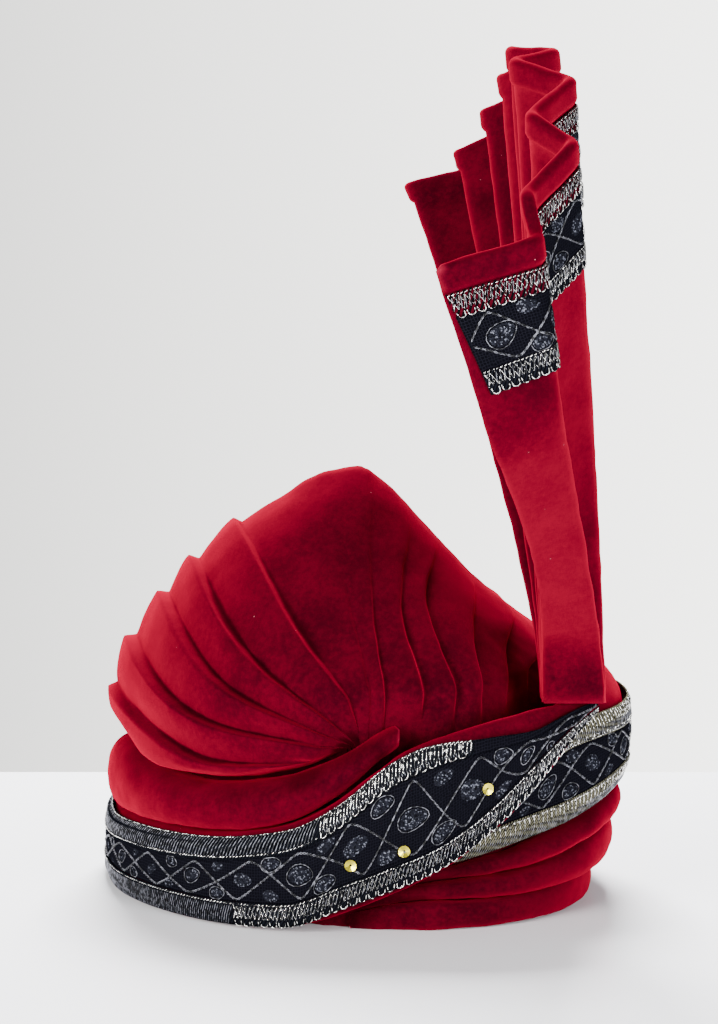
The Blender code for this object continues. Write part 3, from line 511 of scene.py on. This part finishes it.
class Zone:
    """Smooth face of a trim or a net. A place on it is (run along, share across)."""

    def __init__(self, grid, turns=None):
        self.grid = np.asarray(grid)
        self.turns = turns
        along = np.gradient(self.grid, axis=0)
        across = np.gradient(self.grid, axis=1)
        normal = np.cross(along, across)
        self.normal = normal / np.maximum(np.linalg.norm(normal, axis=2, keepdims=True), 1e-12)
        self.run = run_of(self.grid[:, self.grid.shape[1] // 2])
        self.width = np.linalg.norm(np.diff(self.grid, axis=1), axis=2).sum(axis=1)

    def length(self):
        return float(self.run[-1])

    def area(self):
        along = np.diff(self.grid, axis=0)[:, :-1]
        across = np.diff(self.grid, axis=1)[:-1]
        return float(np.linalg.norm(np.cross(along, across), axis=2).sum())

    def at(self, run, share, lift):
        """Points at runs and shares, lifted off the face."""
        rows, columns = self.grid.shape[:2]
        i = np.clip(np.interp(run, self.run, np.arange(rows)), 0, rows - 1.0001)
        k = np.clip(np.asarray(share) * (columns - 1), 0, columns - 1.0001)
        a, b = i.astype(int), k.astype(int)
        u, v = (i - a)[:, None], (k - b)[:, None]
        found = []
        for field in (self.grid, self.normal):
            found.append((field[a, b] * (1 - u) + field[a + 1, b] * u) * (1 - v)
                         + (field[a, b + 1] * (1 - u) + field[a + 1, b + 1] * u) * v)
        return found[0] + found[1] * np.broadcast_to(lift, i.shape)[:, None]

    def wide(self, run):
        return np.interp(run, self.run, self.width)

    def run_at(self, turn):
        return float(self.run[min(np.searchsorted(self.turns, turn), len(self.run) - 1)])

    def lowered(self, top):
        """The zone with each row cut off at its share of the width."""
        columns = self.grid.shape[1]
        shares = np.outer(top, np.linspace(0.0, 1.0, columns))
        points = self.at(np.repeat(self.run, columns), shares.ravel(), 0.0)
        return Zone(points.reshape(self.grid.shape), self.turns)

    def cut(self, first, last):
        """The part of the zone between two rows."""
        return Zone(self.grid[first:last], self.turns[first:last])


def node_rings(node, last_turn):
    """Outer points of a strip's solid, a list for each section along it, from the bottom up."""
    points = np.unique(vertex_rows(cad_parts[node].data, "co").round(6), axis=0)
    centre = oval_centre()
    rings = {}
    for point in points:
        x, y = point[0] - centre.x, point[1] - centre.y
        turn = math.degrees(math.atan2(x, -y))
        turn -= 360.0 if turn > last_turn else 0.0
        key = next((known for known in rings if abs(known - turn) < SAME_TURN), turn)
        heights = rings.setdefault(key, {})
        level = next((known for known in heights if abs(known - point[2]) < SAME_LEVEL), point[2])
        radius = math.hypot(x, y)
        if level not in heights or radius > heights[level][0]:
            heights[level] = (radius, point)
    return [[rings[turn][level][1] for level in sorted(rings[turn])] for turn in sorted(rings)]


def even(points, count):
    """Points evenly spaced along a polyline."""
    points = np.asarray(points)
    run = run_of(points)
    return line_at(np.linspace(0.0, run[-1], count), run, points)


def smooth_rows(grid, step):
    """Rows of a grid refined on a smooth curve through them, about a step apart."""
    rows = [grid[0] * 2 - grid[1], *grid, grid[-1] * 2 - grid[-2]]
    fine = []
    for before, a, b, after in zip(rows, rows[1:], rows[2:], rows[3:]):
        middle = len(a) // 2
        parts = max(1, round(float(np.linalg.norm(b[middle] - a[middle])) / step))
        for k in range(parts):
            u = k / parts
            fine.append(0.5 * (2 * a + (b - before) * u + (2 * before - 5 * a + 4 * b - after) * u * u
                               + (3 * a - before - 3 * b + after) * u ** 3))
    fine.append(rows[-2])
    return np.asarray(fine)


def turns_of(points):
    """Turn of each point of a line round the turban."""
    centre = oval_centre()
    turns = np.degrees(np.arctan2(points[:, 0] - centre.x, centre.y - points[:, 1]))
    turns = np.degrees(np.unwrap(np.radians(turns)))
    return turns - 360 * round(float(turns[-1]) / 360)


def wrap_zone(node, last_turn, across):
    """Zone on the outer face of a lace strip's solid."""
    rings = [even(ring, across) for ring in node_rings(node, last_turn)]
    grid = smooth_rows(np.asarray(rings), NET_STEP)
    return Zone(grid, turns_of(grid[:, across // 2]))


def strip(name, zone, finish, slot, node):
    """Thin closed sheet whose outer face is a zone, with a run and width map in metres."""
    rows, columns = zone.grid.shape[:2]
    inner = zone.grid - zone.normal * LACE_WALL
    points = np.concatenate([zone.grid.reshape(-1, 3), inner.reshape(-1, 3)])
    size = rows * columns
    index = np.arange(size).reshape(rows, columns)
    quads = np.stack([index[:-1, :-1], index[1:, :-1], index[1:, 1:], index[:-1, 1:]], 2).reshape(-1, 4)
    faces = np.stack([quads, size + quads[:, ::-1]], axis=1).reshape(-1, 4).tolist()
    rim = np.concatenate([index[0], index[1:, -1], index[-1, -2::-1], index[-2:0:-1, 0]]).tolist()
    faces += [(a, b, size + b, size + a) for a, b in zip(rim, rim[1:] + rim[:1])]
    piece = solid(name, points.tolist(), faces, finish)
    mesh = piece.data
    across = np.outer(zone.width, np.linspace(0.0, 1.0, columns))
    flat = np.stack([np.repeat(zone.run, columns), across.ravel()], axis=1)
    uv = mesh.uv_layers.new(name="lace")
    corners = np.empty(len(mesh.loops), dtype=np.int64)
    mesh.loops.foreach_get("vertex_index", corners)
    uv.data.foreach_set("uv", flat[corners % size].astype(np.float32).ravel())
    dress(piece, slot, node)
    return piece


def threads(name, paths, radius, finish):
    """Round threads along paths, each given as its points and whether it is closed."""
    curve = bpy.data.curves.new(name, "CURVE")
    curve.dimensions = "3D"
    curve.bevel_depth = radius
    curve.bevel_resolution = 0
    curve.use_fill_caps = True
    for path, closed in paths:
        spline = curve.splines.new("POLY")
        spline.points.add(len(path) - 1)
        spline.points.foreach_set("co", np.c_[path, np.ones(len(path))].astype(np.float32).ravel())
        spline.use_cyclic_u = closed
    piece = link(name, curve)
    only(piece)
    bpy.ops.object.convert(target="MESH")
    piece = bpy.context.view_layer.objects.active
    piece.name = piece.data.name = name
    bpy.ops.object.shade_smooth()
    piece.data.materials.clear()
    piece.data.materials.append(bpy.data.materials[finish])
    dress(piece, "silver_thread")
    return piece


def twisted(zone, run, share):
    """Two strands twisted round a line that lies on a zone, flattened against it."""
    phase = 2 * math.pi * run / VINE_PITCH
    wide = np.maximum(zone.wide(run), 0.5 * MM)
    return [(zone.at(run, share + swing * np.sin(phase) / wide,
                     1.6 * FINE_THREAD + 0.6 * swing * np.cos(phase)), False)
            for swing in (VINE_SWING, -VINE_SWING)]


def stitches(zone, start, end, pitch, top, bottom, slant):
    """Short stitches side by side, each leaning along the trim."""
    paths = []
    for first in np.arange(start, end - abs(slant), pitch):
        along = first + max(0.0, -slant) + slant * STITCH
        share = 1 - (top + (bottom - top) * STITCH)
        paths.append((zone.at(along, share, STITCH_LIFT), False))
    return paths


def loops(zone, start, end):
    """Open loops of thread that hang in a row."""
    swing = np.linspace(0.0, math.pi, 8)
    paths = []
    for first in np.arange(start, end - LOOP_PITCH, LOOP_PITCH):
        along = first + LOOP_PITCH * (0.5 - 0.38 * np.cos(swing))
        share = 1 - (LOOP_FROM + (LOOP_TO - LOOP_FROM) * np.sin(swing) ** 0.4)
        paths.append((zone.at(along, share, 2.0 * THREAD), False))
    return paths


def zigzags(zone, start, end):
    """Two zigzag threads that cross in a row of cells."""
    corners = np.arange(start, end, LOOP_PITCH / 2)
    up = np.arange(len(corners)) % 2 == 0
    paths = []
    for flip in (False, True):
        share = 1 - np.where(up ^ flip, STITCH_FROM, STITCH_TO)
        paths.append((zone.at(corners, share, THREAD * (2.8 if flip else 1.4)), False))
    return paths


def knots(zone, start, end):
    """Bright knots, three short crossing stitches each."""
    paths = []
    for middle in np.arange(start, end - KNOT_PITCH, KNOT_PITCH) + KNOT_PITCH / 2:
        for swing in (0.3, 1.35, 2.4):
            along = middle + KNOT * math.cos(swing) * (2 * STITCH - 1)
            share = 1 - KNOTS_AT + KNOT * math.sin(swing) * (2 * STITCH - 1) / zone.wide(middle)
            paths.append((zone.at(along, share, KNOT_LIFT), False))
    return paths


def rope(zone, start, end, at):
    """Couched cord, seen as short bright slants in a row."""
    paths = []
    for first in np.arange(start, end - ROPE_PITCH, ROPE_PITCH):
        along = first + ROPE_LONG * STITCH
        share = 1 - at + ROPE_SLANT * (STITCH - 0.5) / zone.wide(along)
        paths.append((zone.at(along, share, ROPE_LIFT), False))
    return paths


def ladder_trim(zone):
    """Rope above slanted stitches and a dotted edge; knots, a bright ladder and loops at the front."""
    start, end = TRIM_END, zone.length() - TRIM_END
    front = zone.run_at(LADDER_TURN)
    bright = rope(zone, start, end, ROPE_AT) + rope(zone, start, front, DOTS_AT)
    bright += loops(zone, front, end) + knots(zone, front, end)
    bright += stitches(zone, front, end, STITCH_PITCH, STITCH_FROM, STITCH_TO, -0.6 * MM)
    dull = stitches(zone, start, front, STITCH_PITCH, STITCH_FROM, DOTS_AT - 0.06, -3.2 * MM)
    dull += stitches(zone, front, end, GIMP_PITCH, STITCH_TO, LOOP_FROM + 0.06, 0.5 * MM)
    return bright, dull


def cell_trim(zone):
    """Rope above satin stitches; at the front crossing zigzags and hanging loops."""
    start, end = TRIM_END, zone.length() - TRIM_END
    front = zone.run_at(CELL_TURN) if zone.turns is not None else start
    bright = rope(zone, start, end, ROPE_AT) + loops(zone, front, end) + zigzags(zone, front, end)
    dull = stitches(zone, start, front, GIMP_PITCH, STITCH_FROM + 0.04, 0.95, -3.0 * MM)
    dull += stitches(zone, front, end, STITCH_PITCH, STITCH_FROM + 0.05, STITCH_TO, -1.4 * MM)
    return bright, dull


def gimp_trim(zone, inner):
    """Close satin stitches in two rows, with a rope and comb along the net."""
    start, end = TRIM_END, zone.length() - TRIM_END
    bright = rope(zone, start, end, inner)
    bright += stitches(zone, start, end, 2 * GIMP_PITCH, inner, 0.5 + 0.5 * (inner - 0.5), 0.8 * MM)
    bright += stitches(zone, start, end, 2 * GIMP_PITCH, 0.04, 0.56, 1.1 * MM)
    dull = stitches(zone, start, end, GIMP_PITCH, 0.50, 0.97, -1.1 * MM)
    return bright, dull


def vine_share(run, phase):
    """Share across the net of a vine that runs from edge to edge in soft, uneven zigzags."""
    run = run + VINE_WANDER[0] * np.sin(run / LATTICE * VINE_WANDER[1] + phase)
    swing = np.arcsin(VINE_CORNER * np.sin(math.pi * run / LATTICE + phase))
    return 0.5 + VINE_REACH * swing / math.asin(VINE_CORNER)


def net_embroidery(zone, seed):
    """Vines in a loose lattice, and leaves as (run, share, tilt, size)."""
    rng = np.random.default_rng(seed)
    vines, leaves = [], []
    run = np.arange(1.5 * MM, zone.length() - 1.5 * MM, VINE_PITCH / 4)
    for phase in (0.0, math.pi):
        vines += twisted(zone, run, vine_share(run, phase))
    for k in range(int(zone.length() / LATTICE) + 1):
        crossing = k * LATTICE
        leaves.append((crossing + LATTICE / 2, 0.5 + rng.uniform(-0.06, 0.06),
                       rng.uniform(-0.6, 0.6), 1.0))
        for edge in EDGE_LEAVES:
            leaves.append((crossing + rng.uniform(-2, 2) * MM, edge,
                           rng.uniform(-0.3, 0.3), EDGE_LEAF_SIZE))
    ends = 0.6 * LEAF[0]
    return vines, [leaf for leaf in leaves if ends < leaf[0] < zone.length() - ends]


def leaf_outline(zone, leaf, grow, lift):
    """Closed almond line round a leaf; grow is added to its half width."""
    run, share, tilt, size = leaf
    swing = np.linspace(0, 2 * math.pi, LEAF_POINTS, endpoint=False)
    wide = max(zone.wide(run), 1 * MM)
    size = size * min(1.0, wide / LEAF_NET)
    x = (LEAF[0] / 2 * size + grow) * np.cos(swing)
    y = (LEAF[1] / 2 * size + grow) * np.sin(swing) * (1 - 0.25 * np.cos(swing))
    along = x * math.cos(tilt) - y * math.sin(tilt)
    across = x * math.sin(tilt) + y * math.cos(tilt)
    return zone.at(np.clip(run + along, 0, zone.length()), np.clip(share + across / wide, 0.0, 1.0), lift)


def leaf_pads(name, zone, leaves):
    """Low domes of close thread that fill the leaves."""
    points, faces = [], []
    for leaf in leaves:
        index = len(points) + np.arange(len(LEAF_PAD) * LEAF_POINTS).reshape(-1, LEAF_POINTS)
        beside = np.roll(index, -1, axis=1)
        for grow, lift in LEAF_PAD:
            points += leaf_outline(zone, leaf, grow, lift).tolist()
        sides = np.stack([index[:-1], beside[:-1], beside[1:], index[1:]], axis=2)
        faces += [*sides.reshape(-1, 4).tolist(), index[-1].tolist(), index[0, ::-1].tolist()]
    piece = solid(name, points, faces, "tinsel_leaf")
    dress(piece, "silver_thread")
    return piece


# How each lace's lower and upper trim is stitched, and the gimp under it
TRIM_STYLES = {
    "over": {"lower": (cell_trim, "dark_gimp"), "upper": (ladder_trim, "dark_gimp")},
    "under": {"lower": (partial(gimp_trim, inner=GIMP_EDGE), "olive_gimp"),
              "upper": (partial(gimp_trim, inner=1 - GIMP_EDGE), "olive_gimp")},
    "fan": {"lower": (cell_trim, "dark_gimp"), "upper": (cell_trim, "open_gimp")},
}


def dress_band(kind, zones, seed):
    """One lace: net, two trims, their threads, vines and leaves."""
    low, net, high = zones
    under = net.grid.copy()
    for edge, inner in ((0, 1), (-1, -2)):
        under[:, edge] += NET_OVERLAP * (under[:, edge] - under[:, inner])
    net_piece = strip(f"net_{kind}", Zone(under), "nylon_net", "black_net", f"lace_{kind}_net")
    pieces = []
    for place, zone in (("lower", low), ("upper", high)):
        node = f"trim_{kind}_{place}"
        stitch, ground = TRIM_STYLES[kind][place]
        if (kind, place) == ("over", "upper"):
            last = int(np.searchsorted(zone.turns, TRIM_FADE_TURN))
            zone = zone.lowered(np.interp(zone.turns - TRIM_FADE_TURN, *TRIM_TAPER))
            pieces.append(strip("net_edge", zone.cut(last - 1, None), "nylon_net", "black_net", node))
            zone = zone.cut(0, last)
        bright, dull = stitch(zone)
        pieces += [strip(f"gimp_{kind}_{place}", zone, ground, "silver_thread", node),
                   threads(f"stitches_{kind}_{place}", bright, THREAD, "wrapped_silver"),
                   threads(f"comb_{kind}_{place}", dull, FINE_THREAD, "tarnished_thread")]
    vines, leaves = net_embroidery(net, seed)
    outlines = [(leaf_outline(net, leaf, 0.4 * MM, 1.2 * FINE_THREAD), True) for leaf in leaves[::2]]
    pieces += [threads(f"vines_{kind}", vines + outlines, FINE_THREAD, "tarnished_thread"),
               leaf_pads(f"leaves_{kind}", net, leaves)]
    net.length()


# The fan's own form

def fan_path(fold, level):
    """Depth and height along a fold from its foot to a level."""
    steps = max(1, round(level * FAN_PATH_STEPS))
    depth = height = 0.0
    for k in range(steps):
        at = (k + 0.5) * level / steps
        turned = min(1.0, max(0.0, (at - FAN_TURN) / FAN_TURN_SPAN))
        lean = math.radians(fold.lean * min(1.0, at / FAN_BEND) + (fold.tip - fold.lean) * turned)
        depth += math.sin(lean) * FAN_LENGTH * level / steps
        height += math.cos(lean) * FAN_LENGTH * level / steps
    return depth, height


def blurred(line, reach):
    """An even line with its corners rounded; its ends stay where they are."""
    size = int(3 * reach) + 1
    kernel = np.exp(-0.5 * (np.arange(-size, size + 1) / reach) ** 2)
    kernel /= kernel.sum()
    longer = np.concatenate([2 * line[0] - line[size:0:-1], line, 2 * line[-1] - line[-2:-size - 2:-1]])
    return np.stack([np.convolve(longer[:, k], kernel, mode="valid") for k in range(3)], axis=1)


def fan_row(level):
    """Line across all the fan's folds at a level, softly rounded at each fold."""
    corners, marks = [], []
    count = len(FAN_FOLDS)
    blunt = FAN_FOOT_PITCH + (FAN_FOLD_BLUNT - FAN_FOOT_PITCH) * level
    for i, fold in enumerate(FAN_FOLDS):
        foot_side = FAN_FOOT_WIDTH / 2 * (1 if i % 2 else -1)
        foot_depth = FAN_FOOT_PITCH * ((count - 1) / 2 - i)
        opened = level ** fold.late
        across = foot_side * (1 - opened) + fold.side * FAN_LENGTH * opened
        depth, height = fan_path(fold, level)
        ends = [0.0] if i in (0, count - 1) else [blunt / 2, -blunt / 2]
        marks.append(len(corners) + (len(ends) - 1) / 2)
        corners += [(across, foot_depth + depth + end, height) for end in ends]
    corners = np.asarray(corners)
    run = run_of(corners)
    even_run = np.linspace(0.0, run[-1], FAN_FINE)
    line = line_at(even_run, run, corners)
    soft = FAN_ROUND[0] + (FAN_ROUND[1] - FAN_ROUND[0]) * level
    line = blurred(line, soft / even_run[1])
    folds = np.interp(marks, np.arange(len(corners)), run)
    steps = np.linspace(0.0, count - 1, (count - 1) * FAN_LEAF_STEPS + 1)
    places = np.interp(steps, np.arange(count), folds)
    line = line_at(places, even_run, line)
    out, forward = direction(HIGH_TURN), direction(HIGH_TURN - 90.0)
    foot = oval_centre() + direction(FAN_FOOT_TURN) * FAN_FOOT_RADIUS
    foot.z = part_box("fan")[0][2]
    return np.array(foot) + line @ np.array([out, forward, (0.0, 0.0, 1.0)])


def fan_grid(levels):
    """Middle of the fan's cloth: along its folds' line first, then from foot to hem."""
    return np.stack([fan_row(level) for level in levels], axis=1)


def fan_half(levels):
    """Half the cloth's thickness at each level."""
    return (FAN_WALL[0] + (FAN_WALL[1] - FAN_WALL[0]) * levels) / 2


def velvet_fan():
    """Doubled velvet pleated like an accordion, its top edge turned over in a soft roll."""
    hem = 1 - FAN_HEM / FAN_LENGTH
    top = 1 - (FAN_WALL[1] / 2 + FAN_HEM_SWELL) / FAN_LENGTH
    levels = np.append(np.linspace(0, hem, FAN_LEVEL_STEPS), np.linspace(hem, top, FAN_HEM_STEPS)[1:])
    middle = Zone(fan_grid(levels))
    full = np.clip((levels - hem) / (top - hem) * FAN_HEM_RATE, 0.0, 1.0)
    half = fan_half(levels) + FAN_HEM_SWELL * np.sin(full * math.pi / 2)
    inward = np.clip(np.minimum(middle.run, middle.run[-1] - middle.run) / FAN_EDGE_ROUND, 0.02, 1.0)
    half = half[None, :, None] * np.sqrt(inward * (2 - inward))[:, None, None]
    outer = middle.grid + middle.normal * half
    inner = middle.grid - middle.normal * half
    edge, facing, last = middle.grid[:, -1], middle.normal[:, -1], half[:, -1]
    rise = edge - middle.grid[:, -2]
    rise /= np.linalg.norm(rise, axis=1, keepdims=True)
    roll = [edge + facing * last * math.cos(swing) + rise * last * math.sin(swing)
            for swing in np.linspace(0, math.pi, HEM_ROUND + 2)[1:-1]]
    loop = np.concatenate([outer, np.stack(roll, axis=1), inner[:, ::-1]], axis=1)
    rows, columns = loop.shape[:2]
    index = np.arange(rows * columns).reshape(rows, columns)
    beside = np.roll(index, -1, axis=1)
    faces = np.stack([index[:-1], index[1:], beside[1:], beside[:-1]], axis=2).reshape(-1, 4).tolist()
    # The free edges of the near and far leaf are closed across the cloth
    for first in (0, (rows - 1) * columns):
        for k in range(columns // 2):
            side = sorted({k, k + 1, columns - 2 - k, columns - 1 - k})
            if len(side) > 2:
                faces.append(tuple(first + v for v in side))
    piece = solid("velvet_fan", loop.reshape(-1, 3).tolist(), faces, "pile_velvet")
    only(piece)
    bpy.ops.object.mode_set(mode="EDIT")
    bpy.ops.mesh.select_all(action="SELECT")
    bpy.ops.mesh.normals_make_consistent(inside=False)
    bpy.ops.object.mode_set(mode="OBJECT")
    soften(piece, *FAN_DENT)
    mark_painted_light(piece, 0.0)
    return piece, middle


def fan_lace_zones():
    """The lace's lower trim, net and upper trim on the fan's outer side."""
    hem = 1 - FAN_HEM / FAN_LENGTH
    foot = hem - FAN_LACE / FAN_LENGTH
    trim = TRIM_WIDTH / FAN_LENGTH
    zones = []
    for low, high, count in ((foot, foot + trim, TRIM_COLUMNS), (foot + trim, hem - trim, NET_COLUMNS),
                             (hem - trim, hem, TRIM_COLUMNS)):
        levels = np.linspace(low, high, count)
        middle = Zone(fan_grid(levels))
        face = middle.grid + middle.normal * (fan_half(levels)[None, :, None] + LACE_WALL + LACE_LIFT)
        columns = []
        for k, level in enumerate(levels):
            run = run_of(face[:, k])
            up = (level - foot) / (hem - foot)
            inset = FAN_LACE_INSET[0] + (FAN_LACE_INSET[1] - FAN_LACE_INSET[0]) * up
            at = inset + run * (run[-1] - inset - FAN_LACE_INSET[1]) / run[-1]
            columns.append(line_at(at, run, face[:, k]))
        zones.append(Zone(np.stack(columns, axis=1)))
    return zones


class TURBAN_OT_materials(bpy.types.Operator):
    """Makes the finishes of velvet, thread, net and sequins"""
    bl_idname = "turban.materials"
    bl_label = "Finishes"

    def execute(self, context):
        sizes = context.scene.turban
        pile_velvet(sizes)
        silver_thread(sizes)
        dull_thread()
        gimp_ground("dark_gimp", "#040508", "#14161D", 1.5 * MM)
        gimp_ground("olive_gimp", "#23221A", "#8C8870", 1.2 * MM)
        gimp_ground("open_gimp", "#22030A", "#4A0614", 2.2 * MM)
        black_net()
        glitter_pad()
        foil_sequin()
        pale_floor()
        return {"FINISHED"}


class TURBAN_OT_crown(bpy.types.Operator):
    """Makes the pleated velvet crown"""
    bl_idname = "turban.crown"
    bl_label = "Crown"

    def execute(self, context):
        sizes = context.scene.turban
        piece = velvet_piece("crown", sizes, sizes.smoothing, CROWN_CREASE)
        return {"FINISHED"}


class TURBAN_OT_wraps(bpy.types.Operator):
    """Makes the rim band and the wound wraps, rolls and folds"""
    bl_idname = "turban.wraps"
    bl_label = "Wraps"

    def execute(self, context):
        sizes = context.scene.turban
        for node in ("rim_band", "wrap_over", "wrap_under", "roll_upper", "fold_low", "fold_mid",
                     "fold_top"):
            piece = velvet_piece(node, sizes, sizes.smoothing + 1, WRAP_CREASE)
        return {"FINISHED"}


class TURBAN_OT_fan(bpy.types.Operator):
    """Makes the upright pleated fan"""
    bl_idname = "turban.fan"
    bl_label = "Fan"

    def execute(self, context):
        piece, middle = velvet_fan()
        dress(piece, "crimson_velvet", "fan")
        middle.area()
        return {"FINISHED"}


class TURBAN_OT_lace(bpy.types.Operator):
    """Makes the three laces: net, trims, vines and leaves"""
    bl_idname = "turban.lace"
    bl_label = "Lace"

    def execute(self, context):
        for kind, last, seed in (("over", OVER_LAST_TURN, 3), ("under", UNDER_LAST_TURN, 5)):
            zones = [wrap_zone(f"trim_{kind}_lower", last, TRIM_COLUMNS),
                     wrap_zone(f"lace_{kind}_net", last, NET_COLUMNS),
                     wrap_zone(f"trim_{kind}_upper", last, TRIM_COLUMNS)]
            dress_band(kind, zones, seed)
        dress_band("fan", fan_lace_zones(), 7)
        return {"FINISHED"}


class TURBAN_OT_sequins(bpy.types.Operator):
    """Gives the sequins their foil finish"""
    bl_idname = "turban.sequins"
    bl_label = "Sequins"

    def execute(self, context):
        for name in ("sequin_1", "sequin_2", "sequin_3"):
            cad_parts[name].material_slots[0].material = bpy.data.materials["foil_sequin"]
        return {"FINISHED"}


def studio(scene, right):
    """Soft light from all round, before a backdrop that is lit more brightly towards the right."""
    scene.world = bpy.data.worlds.new("studio")
    scene.world.use_nodes = True
    tree = scene.world.node_tree
    sky = fill(tree, tree.nodes["Background"], {"Color": linear("#F6F6F8"), "Strength": SKY_LIGHT})
    look = add_node(tree, "TexCoord").outputs["Generated"]
    aside = add_node(tree, "VectorMath", {0: look, 1: right}, operation="DOT_PRODUCT")
    lit = add_node(tree, "MapRange", {"Value": aside, "From Min": -BACKDROP_EDGE,
                                      "From Max": BACKDROP_EDGE, "To Min": BACKDROP_LIGHT[0],
                                      "To Max": BACKDROP_LIGHT[1]})
    backdrop = add_node(tree, "Background", {"Color": linear("#F6F5F2"), "Strength": lit})
    ray = add_node(tree, "LightPath").outputs["Is Camera Ray"]
    both = add_node(tree, "MixShader", {0: ray, 1: sky, 2: backdrop})
    fill(tree, tree.nodes["World Output"], {"Surface": both})


class TURBAN_OT_stage(bpy.types.Operator):
    """Makes the floor, lights and camera"""
    bl_idname = "turban.stage"
    bl_label = "Stage"

    def execute(self, context):
        centre = oval_centre()
        front, left = direction(CAMERA_TURN), direction(CAMERA_TURN - 90.0)
        upright = math.radians(CAMERA_TURN)
        bpy.ops.object.select_all(action="DESELECT")
        middle = centre + front * (FLOOR_SIZE / 2 - FLOOR_BEHIND)
        bpy.ops.mesh.primitive_plane_add(size=FLOOR_SIZE, rotation=(0.0, 0.0, upright),
                                         location=(middle.x, middle.y, -0.1 * MM))
        floor = context.object
        floor.name = "floor"
        floor.data.materials.append(bpy.data.materials["pale_floor"])
        studio(context.scene, -left)
        for light in LIGHTS:
            data = bpy.data.lights.new(light.name, "AREA")
            data.energy, data.size, data.color = light.power, light.size, light.colour
            lamp = link(light.name, data)
            lamp.location = centre + left * light.left + front * light.front + Vector((0, 0, light.up))
            aim = centre + Vector((0, 0, light.aim))
            lamp.rotation_euler = (aim - lamp.location).to_track_quat("-Z", "Y").to_euler()
        data = bpy.data.cameras.new("camera")
        camera = link("camera", data)
        camera.location = centre + front * CAMERA_DISTANCE + Vector((0, 0, CAMERA_HEIGHT))
        camera.rotation_euler = (math.radians(90.0 - CAMERA_DOWN), 0.0, upright)
        data.sensor_fit = "HORIZONTAL"
        data.sensor_width = 36.0
        data.lens = CAMERA_PIXELS * data.sensor_width / IMAGE[0]
        data.shift_x = (IMAGE[0] / 2 - AXIS_PIXEL) / IMAGE[0]
        context.scene.camera = camera
        return {"FINISHED"}


OPERATORS = (TURBAN_OT_materials, TURBAN_OT_crown, TURBAN_OT_wraps, TURBAN_OT_fan, TURBAN_OT_lace,
             TURBAN_OT_sequins, TURBAN_OT_stage)


class TURBAN_PT_panel(bpy.types.Panel):
    """Shows the turban's sizes and a button for each of its steps"""
    bl_idname = "TURBAN_PT_panel"
    bl_label = "Turban"
    bl_space_type = "VIEW_3D"
    bl_region_type = "UI"
    bl_category = "Turban"

    def draw(self, context):
        for name in TurbanSizes.__annotations__:
            self.layout.prop(context.scene.turban, name)
        for operator in OPERATORS:
            self.layout.operator(operator.bl_idname)


def register():
    bpy.utils.register_class(TurbanSizes)
    for kind in OPERATORS + (TURBAN_PT_panel,):
        bpy.utils.register_class(kind)
    bpy.types.Scene.turban = bpy.props.PointerProperty(type=TurbanSizes)


def unregister():
    del bpy.types.Scene.turban
    for kind in reversed(OPERATORS + (TURBAN_PT_panel,)):
        bpy.utils.unregister_class(kind)
    bpy.utils.unregister_class(TurbanSizes)


def main():
    register()
    bpy.ops.turban.materials()
    bpy.ops.turban.crown()
    bpy.ops.turban.wraps()
    bpy.ops.turban.fan()
    bpy.ops.turban.lace()
    bpy.ops.turban.sequins()
    bpy.ops.turban.stage()


if __name__ == "__main__":
    main()
